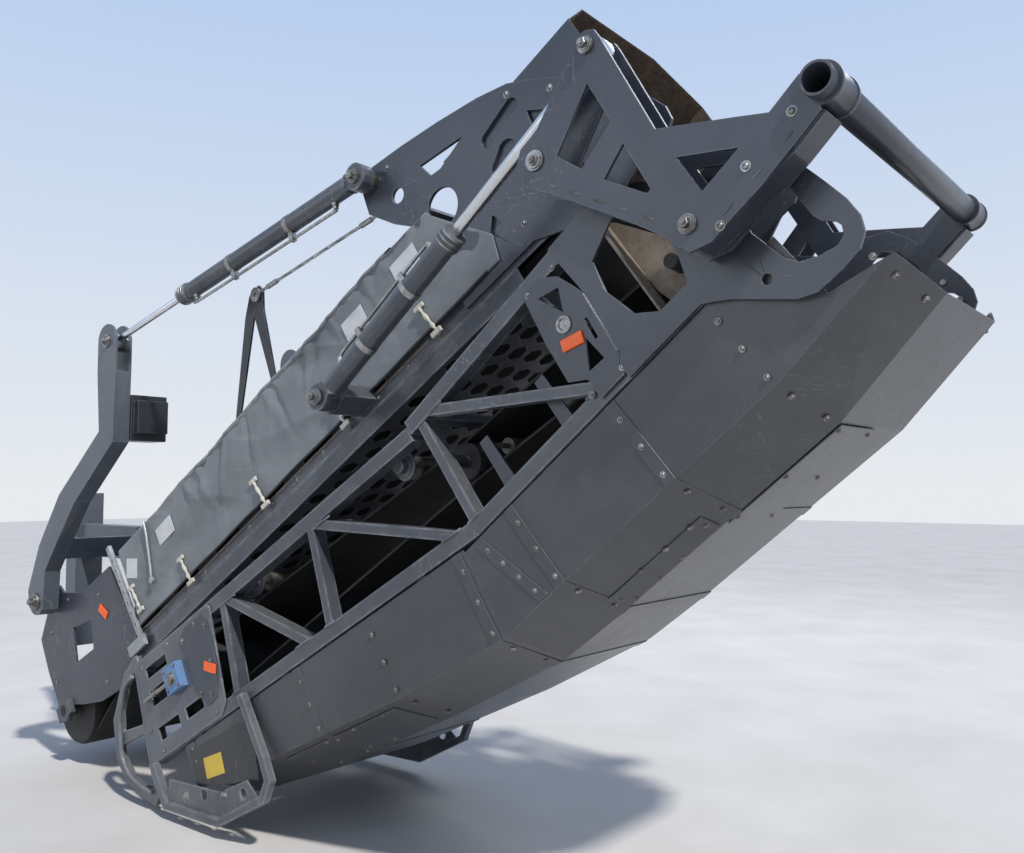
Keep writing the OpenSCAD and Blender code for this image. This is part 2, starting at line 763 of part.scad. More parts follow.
module outer_belt() {
    color("#1b1c1e") outer_at() slab(-belt_w / 2, belt_w / 2) difference() {
        outer_loop(belt_t + 0.8);
        outer_loop(0.8);
    }
}
idler_s = [440, root_len - 520, root_len - 200];
carry = (bend_c[1] + bend_r - turn_c[1] - roller_r) / (bend_c[0] - turn_c[0]);
function idler_t(s) = turn_c[1] + roller_r + 0.8 + carry * (s - turn_c[0]) - 31.9;
module outer_idlers() {
    color("#6a6e73") outer_at() for (s = idler_s) {
        slab(-truss_y + chord + 12, truss_y - chord - 12) disc([s, idler_t(s)], 10);
        slab(-belt_w / 2 + 20, belt_w / 2 - 20) difference() {
            disc([s, idler_t(s)], 31);
            disc([s, idler_t(s)], 10);
        }
    }
}
module outer_idler_brackets() {
    color("#3d424a") outer_at() for (s = idler_s) both(truss_y - chord - 12, truss_y - chord)
        polygon([[s - 30, top_t + 20], [s + 30, top_t + 20], [s + 22, -160], [s - 22, -160]]);
}
module belt_scraper() {
    color("#33363a") tip_at() {
        slab(-truss_y + chord, truss_y - chord) translate([2225, -60]) square([40, 60]);
        slab(-belt_w / 2, belt_w / 2) translate([2235, -160]) square([12, 100]);
    }
}

slew_frame();
foot_pins();
lift_pins();
slew_block();
inner_side_frames();
inner_cross_members();
inner_end_plates();
lever_shafts();
inner_hood();
cover_tarpaulin();
cover_bows();
stay_masts();
stay_ropes();
tail_plates();
tail_drum();
tail_bearings();
fold_roller();
nip_roller();
inner_belt();
inner_idlers();
perforated_guard();
tail_strips();
lift_barrels();
lift_rods();
fold_barrels();
fold_rods();
lever_plates();
cross_tube();
lever_pins();
outer_end_plates();
skirt_plates();
outer_truss();
outer_gussets();
outer_cross_tubes();
hood_root();
hood_tip();
hood_hangers();
tip_plates();
tip_covers();
head_drum();
head_bearings();
take_up_screws();
guard_loops();
guard_arches();
outer_roller();
outer_belt();
outer_idlers();
outer_idler_brackets();
belt_scraper();
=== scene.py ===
import math
import random

import bmesh
import bpy
from mathutils import Matrix, Vector


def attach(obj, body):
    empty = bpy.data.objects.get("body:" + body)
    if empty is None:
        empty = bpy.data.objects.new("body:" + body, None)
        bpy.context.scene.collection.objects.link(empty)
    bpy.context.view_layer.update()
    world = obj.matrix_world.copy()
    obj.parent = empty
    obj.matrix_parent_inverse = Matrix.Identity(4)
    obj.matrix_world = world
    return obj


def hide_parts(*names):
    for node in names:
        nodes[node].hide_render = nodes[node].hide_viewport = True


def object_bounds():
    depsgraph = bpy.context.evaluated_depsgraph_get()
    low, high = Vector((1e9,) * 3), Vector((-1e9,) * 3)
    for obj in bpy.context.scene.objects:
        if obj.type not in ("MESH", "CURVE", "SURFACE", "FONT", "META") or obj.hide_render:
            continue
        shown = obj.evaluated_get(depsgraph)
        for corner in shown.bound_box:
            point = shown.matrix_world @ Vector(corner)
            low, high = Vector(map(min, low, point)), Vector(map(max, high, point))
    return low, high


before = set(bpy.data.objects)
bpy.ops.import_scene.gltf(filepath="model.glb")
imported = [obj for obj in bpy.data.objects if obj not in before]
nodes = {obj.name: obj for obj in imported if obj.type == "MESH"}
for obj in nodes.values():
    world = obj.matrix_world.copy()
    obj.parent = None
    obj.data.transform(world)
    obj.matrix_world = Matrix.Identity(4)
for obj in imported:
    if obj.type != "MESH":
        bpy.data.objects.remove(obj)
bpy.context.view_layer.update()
scene = bpy.context.scene
random.seed(7)

# Joint points in the side view, as (x, z) in metres
LEVER_PIVOT = (4.450025, 2.040295)
FOLD_PIN = (4.990025, 1.740295)
LIFT_BARREL_EYE = (3.406040, 2.250634)
LIFT_ROD_EYE = (1.530, 1.760)
FOLD_BARREL_EYE = (3.364665, 1.348570)
FOLD_ROD_EYE = (4.647025, 2.362295)
FOOT_PIN = (0.834544, 0.362482)

# Faces and middle planes, as distances in metres from the middle of the belt
ROPE_Y = 0.459
SIDE_FACE = 0.505
INNER_PLATE_FACE = 0.521
TAIL_PLATE_FACE = 0.525
LIFT_Y = 0.590
HEM_Y = 0.604
TRUSS_FACE = 0.612
HOOK_FACE = 0.622
TIP_FACE = 0.624
FOLD_Y = 0.721
LEVER_FACE = 0.787
SIDES = (-1, 1)


def turned(x, z, deg):
    """A local frame: its x runs along the piece, y across the belt, z away from the ground at rest."""
    return Matrix.Translation((x, 0.0, z)) @ Matrix.Rotation(math.radians(-deg), 4, "Y")


def along(p, q):
    """The frame of a cylinder from its barrel's eye p towards its rod's eye q."""
    return turned(p[0], p[1], math.degrees(math.atan2(q[1] - p[1], q[0] - p[0])))


INNER = turned(1.150, -0.160, 33.0)
LEVER = turned(*LEVER_PIVOT, 0.0)
OUTER = turned(*FOLD_PIN, 219.0)
TIP = OUTER @ Matrix.Translation((1.3, 0.0, 0.094)) @ Matrix.Rotation(math.radians(9.3), 4, "Y")
LIFT = along(LIFT_BARREL_EYE, LIFT_ROD_EYE)
FOLD = along(FOLD_BARREL_EYE, FOLD_ROD_EYE)
WORLD = Matrix.Identity(4)


class Nodes:
    """Builds one node material."""

    def __init__(self, name):
        self.mat = bpy.data.materials.new(name)
        self.mat.use_nodes = True
        self.tree = self.mat.node_tree
        self.bsdf = self.tree.nodes["Principled BSDF"]
        self.coord = self.tree.nodes.new("ShaderNodeTexCoord")

    def add(self, kind, **values):
        n = self.tree.nodes.new(kind)
        for key, value in values.items():
            if key in n.inputs:
                n.inputs[key].default_value = value
            else:
                setattr(n, key, value)
        return n

    def link(self, a, b):
        self.tree.links.new(a, b)

    def noise(self, scale, detail=3.0, rough=0.55, stretch=None, turn=(0, 0, 0)):
        m = self.add("ShaderNodeMapping")
        m.inputs["Scale"].default_value = stretch or (1, 1, 1)
        m.inputs["Rotation"].default_value = turn
        self.link(self.coord.outputs["Object"], m.inputs["Vector"])
        n = self.add("ShaderNodeTexNoise", Scale=scale, Detail=detail, Roughness=rough)
        self.link(m.outputs["Vector"], n.inputs["Vector"])
        return n.outputs["Fac"]

    def ramp(self, fac, stops):
        """Grey values from stops given as (place, value)."""
        r = self.add("ShaderNodeValToRGB")
        r.color_ramp.elements[0].position = stops[0][0]
        r.color_ramp.elements[0].color = (*[stops[0][1]] * 3, 1)
        r.color_ramp.elements[1].position = stops[-1][0]
        r.color_ramp.elements[1].color = (*[stops[-1][1]] * 3, 1)
        for pos, val in stops[1:-1]:
            e = r.color_ramp.elements.new(pos)
            e.color = (val, val, val, 1)
        self.link(fac, r.inputs["Fac"])
        return r.outputs["Color"]

    def mix(self, fac, a, b):
        m = self.add("ShaderNodeMix")
        m.data_type = "RGBA"
        for sock, value in (("A", a), ("B", b)):
            target = [i for i in m.inputs if i.name == sock and i.type == "RGBA"][0]
            if isinstance(value, tuple):
                target.default_value = (*value, 1)
            else:
                self.link(value, target)
        if isinstance(fac, float):
            m.inputs[0].default_value = fac
        else:
            self.link(fac, m.inputs[0])
        return [o for o in m.outputs if o.type == "RGBA"][0]

    def math(self, op, a, b=0.0, clamp=False):
        m = self.add("ShaderNodeMath", operation=op, use_clamp=clamp)
        for i, v in enumerate((a, b)):
            if isinstance(v, (int, float)):
                m.inputs[i].default_value = v
            else:
                self.link(v, m.inputs[i])
        return m.outputs[0]

    def upward(self, low, high):
        """How far a surface faces up."""
        g = self.add("ShaderNodeNewGeometry")
        s = self.add("ShaderNodeSeparateXYZ")
        self.link(g.outputs["Normal"], s.inputs["Vector"])
        return self.ramp(s.outputs["Z"], [(low, 0.0), (high, 1.0)])

    def bump(self, height, strength, distance):
        b = self.add("ShaderNodeBump", Strength=strength, Distance=distance)
        self.link(height, b.inputs["Height"])
        self.link(b.outputs["Normal"], self.bsdf.inputs["Normal"])
        return b

    def color(self, out):
        self.link(out, self.bsdf.inputs["Base Color"])

    def rough(self, out):
        self.link(out, self.bsdf.inputs["Roughness"])


def worn_paint(name, base, light, dust, scratch=0.5, grime=0.5, gloss=0.36, edge_wear_and_highlight=0.6, rim=0.005):
    """Paint in two tones with scratches, dust, and edges lightened within rim metres: partly rubbed to the
    metal, partly a painted highlight.
    """
    n = Nodes(name)
    cloud = n.noise(2.2, 5.0, 0.6)
    fine = n.noise(34.0, 4.0, 0.65)
    body = n.mix(n.ramp(cloud, [(0.35, 0.0), (0.7, 1.0)]), base, light)
    # Thin scratches lie where a stretched noise crosses its middle value
    lines = None
    for stretch, turn, scale in (((1, 1, 9), (0.3, 0.5, 0.2), 3.4), ((8, 1, 1), (0.1, 0.9, 0.4), 2.6)):
        v = n.noise(scale, 2.0, 0.4, stretch, turn)
        d = n.math("ABSOLUTE", n.math("SUBTRACT", v, 0.5))
        line = n.ramp(d, [(0.0, 1.0), (0.0035, 0.0)])
        lines = line if lines is None else n.math("MAXIMUM", lines, line)
    where = n.ramp(n.noise(1.6, 2.0), [(0.5, 0.0), (0.62, 1.0)])
    lines = n.math("MULTIPLY", n.math("MULTIPLY", lines, where), scratch)
    body = n.mix(lines, body, (0.3, 0.31, 0.33))
    settled = n.math("MULTIPLY", n.upward(0.1, 0.9), n.ramp(fine, [(0.35, 0.2), (0.75, 1.0)]))
    smear = n.math("MULTIPLY", n.ramp(n.noise(5.5, 6.0, 0.7), [(0.52, 0.0), (0.72, 1.0)]), grime)
    layer = n.math("MAXIMUM", n.math("MULTIPLY", settled, 0.55), n.math("MULTIPLY", smear, 0.5))
    body = n.mix(layer, body, dust)
    # Edges are lightened towards bare metal grey: partly paint rubbed off, partly a painted highlight where
    # edges catch the light
    soft = n.add("ShaderNodeBevel", samples=3, Radius=rim)
    true = n.add("ShaderNodeNewGeometry")
    dot = n.add("ShaderNodeVectorMath", operation="DOT_PRODUCT")
    n.link(soft.outputs["Normal"], dot.inputs[0])
    n.link(true.outputs["Normal"], dot.inputs[1])
    edge = n.ramp(dot.outputs["Value"], [(0.90, 1.0), (0.985, 0.0)])
    patches = n.math("MULTIPLY", n.ramp(n.noise(12.0, 4.0, 0.7), [(0.4, 0.15), (0.62, 1.0)]), edge_wear_and_highlight)
    edge = n.math("MULTIPLY", edge, patches)
    body = n.mix(edge, body, (0.34, 0.35, 0.37))
    n.color(body)
    grain = n.math("ADD", n.math("MULTIPLY", fine, 0.16), gloss - 0.08)
    n.rough(n.math("ADD", n.math("MULTIPLY", layer, 0.4), grain))
    n.bsdf.inputs["Coat Weight"].default_value = 0.25
    n.bsdf.inputs["Coat Roughness"].default_value = 0.25
    n.bump(n.math("ADD", n.math("MULTIPLY", fine, 0.5), n.math("MULTIPLY", lines, -0.6)), 0.25, 0.0012)
    return n.mat


def bare_metal(name, base, dark, rough, scale=60.0, metal=1.0):
    """Bare or plated metal with darker spots."""
    n = Nodes(name)
    a = n.noise(scale, 4.0, 0.6)
    b = n.noise(5.0, 4.0, 0.6)
    spots = n.ramp(n.math("MULTIPLY", a, b), [(0.2, 0.0), (0.42, 1.0)])
    n.color(n.mix(spots, dark, base))
    n.bsdf.inputs["Metallic"].default_value = metal
    n.rough(n.math("ADD", n.math("MULTIPLY", a, 0.22), rough - 0.1))
    n.bump(a, 0.15, 0.0006)
    return n.mat


def rusty(name, base, brown, pale, rough=0.75):
    """A dull sheet in three blotched tones."""
    n = Nodes(name)
    a = n.noise(6.0, 6.0, 0.7)
    b = n.noise(42.0, 5.0, 0.7)
    c = n.noise(2.0, 3.0, 0.5, (1, 3, 1))
    col = n.mix(n.ramp(a, [(0.38, 0.0), (0.62, 1.0)]), base, brown)
    col = n.mix(n.ramp(n.math("MULTIPLY", b, c), [(0.2, 0.0), (0.42, 0.9)]), col, pale)
    n.color(col)
    n.rough(n.math("ADD", n.math("MULTIPLY", b, 0.2), rough - 0.1))
    n.bump(b, 0.4, 0.0015)
    return n.mat


def rubbery(name, base, dust, rough=0.65, amount=0.5):
    """Rubber or plastic with a fine grain and patches of dust."""
    n = Nodes(name)
    a = n.noise(9.0, 5.0, 0.65)
    b = n.noise(90.0, 3.0, 0.6)
    n.color(n.mix(n.math("MULTIPLY", n.ramp(a, [(0.42, 0.0), (0.75, 1.0)]), amount), base, dust))
    n.rough(n.math("ADD", n.math("MULTIPLY", b, 0.2), rough - 0.08))
    n.bump(b, 0.3, 0.0008)
    return n.mat


def fabric(name, base, light, stain):
    """Coated cloth with a visible weave and stains."""
    n = Nodes(name)
    a = n.noise(3.2, 6.0, 0.6)
    b = n.noise(14.0, 6.0, 0.65, (1, 1, 3))
    body = n.mix(n.ramp(a, [(0.35, 0.0), (0.68, 1.0)]), base, light)
    body = n.mix(n.math("MULTIPLY", n.ramp(b, [(0.5, 0.0), (0.78, 1.0)]), 0.5), body, stain)
    # Coated scrim: two crossed sets of threads at about three millimetres
    threads = []
    for axis in ("X", "Z"):
        w = n.add("ShaderNodeTexWave", Scale=150.0, bands_direction=axis)
        n.link(n.coord.outputs["Object"], w.inputs["Vector"])
        threads.append(w.outputs["Fac"])
    weave = n.math("MULTIPLY", threads[0], threads[1])
    n.color(body)
    n.rough(n.math("ADD", n.math("MULTIPLY", b, 0.25), 0.3))
    n.bsdf.inputs["Sheen Weight"].default_value = 0.15
    n.bump(n.math("ADD", n.math("MULTIPLY", weave, 0.35), n.math("MULTIPLY", b, 0.8)), 0.35, 0.0012)
    return n.mat


# Paints: colour, lighter tone, dust
slate = worn_paint(
    "slate_paint", (0.030, 0.036, 0.050), (0.048, 0.055, 0.072), (0.11, 0.11, 0.105),
    scratch=0.6, grime=0.35,
)
hood_paint = worn_paint(
    "hood_paint", (0.046, 0.049, 0.056), (0.068, 0.071, 0.078), (0.14, 0.14, 0.135),
    scratch=0.25, grime=0.4, gloss=0.38, edge_wear_and_highlight=0.4,
)
truss_paint = worn_paint(
    "truss_paint", (0.045, 0.052, 0.066), (0.085, 0.093, 0.108), (0.19, 0.185, 0.17),
    scratch=0.8, grime=0.8, gloss=0.34, edge_wear_and_highlight=0.95, rim=0.014,
)
pipe_paint = worn_paint(
    "pipe_paint", (0.062, 0.07, 0.086), (0.115, 0.125, 0.142), (0.24, 0.235, 0.22),
    scratch=0.8, grime=0.9, gloss=0.34, edge_wear_and_highlight=1.0, rim=0.014,
)
black_paint = worn_paint(
    "black_paint", (0.012, 0.013, 0.016), (0.026, 0.028, 0.032), (0.08, 0.078, 0.073), scratch=0.3
)
arm_paint = worn_paint(
    "arm_paint", (0.07, 0.083, 0.104), (0.11, 0.125, 0.148), (0.2, 0.195, 0.18), scratch=0.4
)
blue = worn_paint(
    "blue_paint", (0.06, 0.16, 0.38), (0.12, 0.26, 0.5), (0.3, 0.33, 0.36), scratch=0.4
)
# Bare metals, rubbers, rusty sheets and cloth: colour, then its darker or dusty tone
zinc = bare_metal("zinc", (0.6, 0.61, 0.62), (0.3, 0.29, 0.27), 0.4)
bolt_steel = bare_metal("bolt_steel", (0.46, 0.46, 0.46), (0.2, 0.19, 0.17), 0.42, 80.0)
chrome = bare_metal("chrome", (0.78, 0.79, 0.81), (0.68, 0.69, 0.7), 0.2, 30.0)
galvanised = bare_metal("galvanised", (0.5, 0.52, 0.54), (0.36, 0.37, 0.38), 0.5, 22.0, 0.85)
idler_steel = bare_metal("idler_steel", (0.2, 0.19, 0.17), (0.08, 0.07, 0.06), 0.5, 20.0, 0.6)
rubber = rubbery("belt_rubber", (0.012, 0.012, 0.013), (0.06, 0.055, 0.05))
hose_rubber = rubbery("hose_rubber", (0.014, 0.014, 0.015), (0.05, 0.048, 0.045), 0.5, 0.3)
cream = rubbery("cream_rubber", (0.62, 0.6, 0.5), (0.4, 0.38, 0.3), 0.5)
rust = rusty("rusty_sheet", (0.10, 0.066, 0.042), (0.055, 0.038, 0.027), (0.2, 0.15, 0.105))
dusty = rusty("dusty_sheet", (0.24, 0.2, 0.155), (0.14, 0.11, 0.08), (0.36, 0.31, 0.25))
cloth = fabric("grey_tarpaulin", (0.125, 0.14, 0.152), (0.2, 0.216, 0.228), (0.27, 0.27, 0.262))
white = rubbery("blank_label", (0.66, 0.67, 0.68), (0.4, 0.4, 0.4), 0.4, 0.6)
yellow = rubbery("blank_sign", (0.72, 0.5, 0.05), (0.35, 0.27, 0.1), 0.4, 0.5)
bristle = rubbery("bristles", (0.09, 0.075, 0.055), (0.2, 0.17, 0.12), 0.8)


def reflector_shader():
    """A glossy prism pattern with a faint painted glow."""
    n = Nodes("orange_reflector")
    v = n.add("ShaderNodeTexVoronoi", Scale=260.0)
    n.link(n.coord.outputs["Object"], v.inputs["Vector"])
    n.color(n.mix(v.outputs["Distance"], (1.0, 0.16, 0.01), (0.75, 0.07, 0.0)))
    n.bsdf.inputs["Roughness"].default_value = 0.18
    # Painted glow: the reflector is no lamp, yet gives off a faint orange light
    n.bsdf.inputs["Emission Color"].default_value = (1.0, 0.12, 0.0, 1)
    n.bsdf.inputs["Emission Strength"].default_value = 0.12
    n.bump(v.outputs["Distance"], 0.4, 0.001)
    return n.mat


orange = reflector_shader()

# Finish of each sub-part; one that isn't named here is slate
FINISHES = (
    (arm_paint, ("slew_frame",)),
    (black_paint, ("slew_block", "stay_masts")),
    (hood_paint, ("hood_root", "hood_tip")),
    (truss_paint, ("outer_truss", "outer_cross_tubes", "inner_cross_members", "inner_side_frames")),
    (truss_paint, ("perforated_guard", "lift_barrels", "fold_barrels")),
    (pipe_paint, ("guard_loops", "guard_arches", "tip_plates")),
    (bolt_steel, ("foot_pins", "lift_pins", "lever_shafts", "lever_pins")),
    (zinc, ("stay_ropes", "take_up_screws")),
    (galvanised, ("tail_strips", "cover_bows")),
    (chrome, ("lift_rods", "fold_rods")),
    (rubber, ("inner_belt", "outer_belt", "belt_scraper", "tail_drum", "head_drum")),
    (rubber, ("fold_roller", "outer_roller", "nip_roller")),
    (idler_steel, ("inner_idlers", "outer_idlers")),
    (cloth, ("cover_tarpaulin",)),
    (blue, ("head_bearings",)),
    (dusty, ("skirt_plates",)),
)
paint_of = {name: mat for mat, names in FINISHES for name in names}
# Edges are rounded by 2 mm, on bent pipes and folded boxes by more; thin sheets keep theirs
round_off = {"outer_truss": 0.010, "guard_loops": 0.014, "guard_arches": 0.010, "slew_frame": 0.005}
thin_sheets = ("inner_belt", "outer_belt", "perforated_guard", "cover_tarpaulin", "hood_root", "hood_tip")
for name, obj in nodes.items():
    obj.data.materials.clear()
    obj.data.materials.append(paint_of.get(name, slate))
    if name in thin_sheets:
        continue
    weld = obj.modifiers.new("weld", "WELD")
    weld.merge_threshold = 0.0001
    bevel = obj.modifiers.new("bevel", "BEVEL")
    bevel.width = round_off.get(name, 0.002)
    bevel.segments = 4 if name in round_off else 2
    bevel.limit_method = "ANGLE"
    bevel.angle_limit = math.radians(40)
    bevel.harden_normals = True


def linked_object(name, bm, mat):
    """Turns a bmesh into an object of the scene with one material."""
    me = bpy.data.meshes.new(name)
    bm.to_mesh(me)
    bm.free()
    obj = bpy.data.objects.new(name, me)
    scene.collection.objects.link(obj)
    me.materials.append(mat)
    return obj


def drop_loose(bm):
    loose = [v for v in bm.verts if not v.link_faces]
    bmesh.ops.delete(bm, geom=loose, context="VERTS")


class Piece:
    """One visible piece: its parts are built in local frames m, and it rides on one body."""

    def __init__(self, name, body, mat, smooth=None):
        self.name = name
        self.body = body
        self.mat = mat
        self.smooth = smooth
        self.bm = bmesh.new()

    def prism(self, m, outline, y0, y1):
        """Extrudes an outline of (x, z) points from y0 to y1."""
        a = [self.bm.verts.new(m @ Vector((p[0], y0, p[1]))) for p in outline]
        b = [self.bm.verts.new(m @ Vector((p[0], y1, p[1]))) for p in outline]
        self.bm.faces.new(a)
        self.bm.faces.new(b[::-1])
        for i in range(len(outline)):
            j = (i + 1) % len(outline)
            self.bm.faces.new((a[j], a[i], b[i], b[j]))

    def block(self, m, lo, hi):
        """A box between two corners (x, y, z)."""
        self.prism(m, [(lo[0], lo[2]), (hi[0], lo[2]), (hi[0], hi[2]), (lo[0], hi[2])], lo[1], hi[1])

    def turnings(self, m, centre, axis, profile, seg=20, hollow=False):
        """Revolves (radius, height) points about an axis; a hollow one is open in its middle."""
        axis = Vector(axis).normalized()
        side = axis.orthogonal().normalized()
        other = axis.cross(side)
        rings = []
        for r, h in profile:
            ring = []
            for i in range(seg):
                t = 2 * math.pi * i / seg
                p = Vector(centre) + axis * h + (side * math.cos(t) + other * math.sin(t)) * r
                ring.append(self.bm.verts.new(m @ p))
            rings.append(ring)
        if hollow:
            rings.append(rings[0])
        for a, b in zip(rings, rings[1:]):
            for i in range(seg):
                j = (i + 1) % seg
                self.bm.faces.new((a[i], a[j], b[j], b[i]))
        if not hollow:
            self.bm.faces.new(rings[0][::-1])
            self.bm.faces.new(rings[-1])

    def bolt(self, m, centre, axis, r, washers=1):
        """A washer stack, a hexagon nut and the round end of the bolt."""
        h = 0.0
        for k in range(washers):
            w = r * (1.0 - 0.16 * k)
            self.turnings(m, centre, axis, [(w, h), (w, h + 0.16 * r), (w * 0.96, h + 0.18 * r)], 24)
            h += 0.19 * r
        n = r * (1.0 - 0.16 * (washers - 1)) * 0.74
        nut = [(n, h), (n, h + 0.8 * n), (n * 0.9, h + 0.9 * n)]
        tip = [(n * 0.5, h + 0.88 * n), (n * 0.5, h + 1.15 * n), (n * 0.4, h + 1.22 * n)]
        self.turnings(m, centre, axis, nut, 6)
        self.turnings(m, centre, axis, tip, 12)

    def screw(self, m, centre, axis, r):
        """A washer and a low domed head with a socket."""
        self.turnings(m, centre, axis, [(r, 0), (r, 0.12 * r), (r * 0.7, 0.14 * r)], 16)
        dome = ((0.62, 0.1), (0.6, 0.4), (0.42, 0.6), (0.28, 0.62), (0.26, 0.4))
        self.turnings(m, centre, axis, [(r * a, b * r) for a, b in dome], 12)

    def tube(self, m, path, r, seg=10, swell=None):
        """Sweeps a circle along a path of points; swell(i) may change the radius."""
        pts = [m @ Vector(p) for p in path]
        last = None
        up = None
        for i, p in enumerate(pts):
            d = (pts[min(i + 1, len(pts) - 1)] - pts[max(i - 1, 0)]).normalized()
            if up is None:
                up = d.orthogonal().normalized()
            up = (up - d * up.dot(d)).normalized()
            side = d.cross(up)
            here = r if swell is None else swell(i) * r
            ring = []
            for k in range(seg):
                a = 2 * math.pi * k / seg
                ring.append(self.bm.verts.new(p + (up * math.cos(a) + side * math.sin(a)) * here))
            if last:
                for k in range(seg):
                    j = (k + 1) % seg
                    self.bm.faces.new((last[k], last[j], ring[j], ring[k]))
            else:
                self.bm.faces.new(ring[::-1])
            last = ring
        self.bm.faces.new(last)

    def done(self, bevel=0.0):
        """Makes the object, shades it smooth below an angle and bevels its edges."""
        bmesh.ops.recalc_face_normals(self.bm, faces=self.bm.faces)
        obj = linked_object(self.name, self.bm, self.mat)
        if self.smooth:
            for f in obj.data.polygons:
                f.use_smooth = True
            obj.data.set_sharp_from_angle(angle=math.radians(self.smooth))
        if bevel:
            b = obj.modifiers.new("bevel", "BEVEL")
            b.width = bevel
            b.segments = 2
            b.limit_method = "ANGLE"
            b.angle_limit = math.radians(35)
        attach(obj, self.body)


def curve_points(points, n):
    """Smooth path through the points, n steps for each stretch."""
    p = [Vector(q) for q in points]
    p = [p[0] * 2 - p[1]] + p + [p[-1] * 2 - p[-2]]
    out = []
    for i in range(1, len(p) - 2):
        slope = p[i + 1] - p[i - 1]
        bend = p[i - 1] * 2 - p[i] * 5 + p[i + 1] * 4 - p[i + 2]
        twist = p[i] * 3 - p[i - 1] - p[i + 1] * 3 + p[i + 2]
        for k in range(n):
            t = k / n
            out.append(0.5 * (p[i] * 2 + slope * t + bend * t * t + twist * t * t * t))
    out.append(p[-2])
    return out


# Bolts and nuts at the pins of the levers and cylinders
pins = Piece("pin_fasteners", "fold_lever_pair", bolt_steel, 30)
for s in SIDES:
    y = s * (LEVER_FACE + 0.007)
    pins.bolt(LEVER, (0.540, y, -0.300), (0, s, 0), 0.027, 2)
    pins.bolt(LEVER, (0.197, y, 0.322), (0, s, 0), 0.026, 2)
    for x, z in ((0.850, -0.051), (0.718, -0.171), (0.640, -0.322)):
        pins.screw(LEVER, (x, s * LEVER_FACE, z), (0, s, 0), 0.016)
pins.done()
inner_pins = Piece("inner_fasteners", "inner_section", bolt_steel, 30)
for s in SIDES:
    inner_pins.bolt(INNER, (3.966, s * (LEVER_FACE + 0.004), 0.048), (0, s, 0), 0.028, 3)
    inner_pins.bolt(INNER, (3.205, s * (LIFT_Y + 0.038), 0.793), (0, s, 0), 0.026, 2)
    inner_pins.bolt(INNER, (2.679, s * (FOLD_Y + 0.055), 0.059), (0, s, 0), 0.026, 2)
    for x, z in ((3.70, 0.10), (3.82, 0.22), (3.46, 0.30), (3.90, 0.56), (4.05, 0.43), (3.30, 0.78)):
        inner_pins.screw(INNER, (x, s * INNER_PLATE_FACE, z), (0, s, 0), 0.014)
    for i in range(14):
        inner_pins.screw(INNER, (0.75 + i * 0.2, s * SIDE_FACE, 0.03), (0, s, 0), 0.011)
    for x, z in ((0.15, 0.54), (-0.11, 0.47), (-0.19, 0.2), (0.45, 0.40), (0.56, -0.02), (0.3, -0.03)):
        inner_pins.screw(INNER, (x, s * TAIL_PLATE_FACE, z), (0, s, 0), 0.013)
inner_pins.done()
frame_pins = Piece("frame_fasteners", "slewing_frame", bolt_steel, 30)
for s in SIDES:
    frame_pins.bolt(WORLD, (LIFT_ROD_EYE[0], s * 0.643, LIFT_ROD_EYE[1]), (0, s, 0), 0.026, 2)
    frame_pins.bolt(WORLD, (FOOT_PIN[0], s * 0.647, FOOT_PIN[1]), (0, s, 0), 0.032, 2)
frame_pins.done()

# The floor's height is taken here, a little under the lowest point of the pieces in place by now
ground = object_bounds()[0][2] - 0.03


# Hood details: liners, cover strips at the joints and rows of screws
def hood_line(hem, shoulder, top, out):
    """Half sections are (y, z) points of the near side; the line runs over both, out metres proud."""
    half = [(-hem[0] - out, hem[1]), (-shoulder[0] - out, shoulder[1]), (-top[0] - out / 2, top[1] + out)]
    return half + [(-y, z) for y, z in half[::-1]]


def hood_sheet(name, m, body, mat, sections, out, thick, skip=()):
    """An open sheet through hood sections given as (x, hem, shoulder, top)."""
    bm = bmesh.new()
    rows = []
    for x, hem, shoulder, top in sections:
        line = hood_line(hem, shoulder, top, out)
        rows.append([bm.verts.new(m @ Vector((x, y, z))) for y, z in line])
    for a, b in zip(rows, rows[1:]):
        for i in range(5):
            if i not in skip:
                bm.faces.new((a[i], a[i + 1], b[i + 1], b[i]))
    drop_loose(bm)
    obj = linked_object(name, bm, mat)
    solid = obj.modifiers.new("thickness", "SOLIDIFY")
    solid.thickness = thick
    solid.offset = 0.0
    edges = obj.modifiers.new("bevel", "BEVEL")
    edges.width = min(0.002, thick * 0.3)
    edges.limit_method = "ANGLE"
    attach(obj, body)


# Sections of the two-part hood: x, then hem, shoulder and top edge as (y, z)
ROOT_HOOD = [
    (-0.316, (HEM_Y, 0.130), (0.574, 0.395), (0.300, 0.500)),
    (0.144, (HEM_Y, 0.130), (0.574, 0.450), (0.300, 0.580)),
    (1.156, (HEM_Y, 0.130), (0.574, 0.450), (0.300, 0.584)),
]
TIP_HOOD = [
    (0.081, (HEM_Y, 0.038), (0.574, 0.380), (0.300, 0.500)),
    (0.665, (HEM_Y, 0.038), (0.574, 0.365), (0.300, 0.480)),
    (1.500, (HEM_Y, 0.038), (0.586, 0.300), (0.300, 0.412)),
    (2.050, (HEM_Y, 0.038), (0.598, 0.185), (0.300, 0.320)),
]


def mixed(p, q, t):
    return tuple(a + (b - a) * t for a, b in zip(p, q))


def section_at(sections, x):
    """The hood's section at any x, between the given ones."""
    for a, b in zip(sections, sections[1:]):
        if a[0] <= x <= b[0]:
            t = (x - a[0]) / (b[0] - a[0])
            return (x, mixed(a[1], b[1], t), mixed(a[2], b[2], t), mixed(a[3], b[3], t))
    return sections[-1]


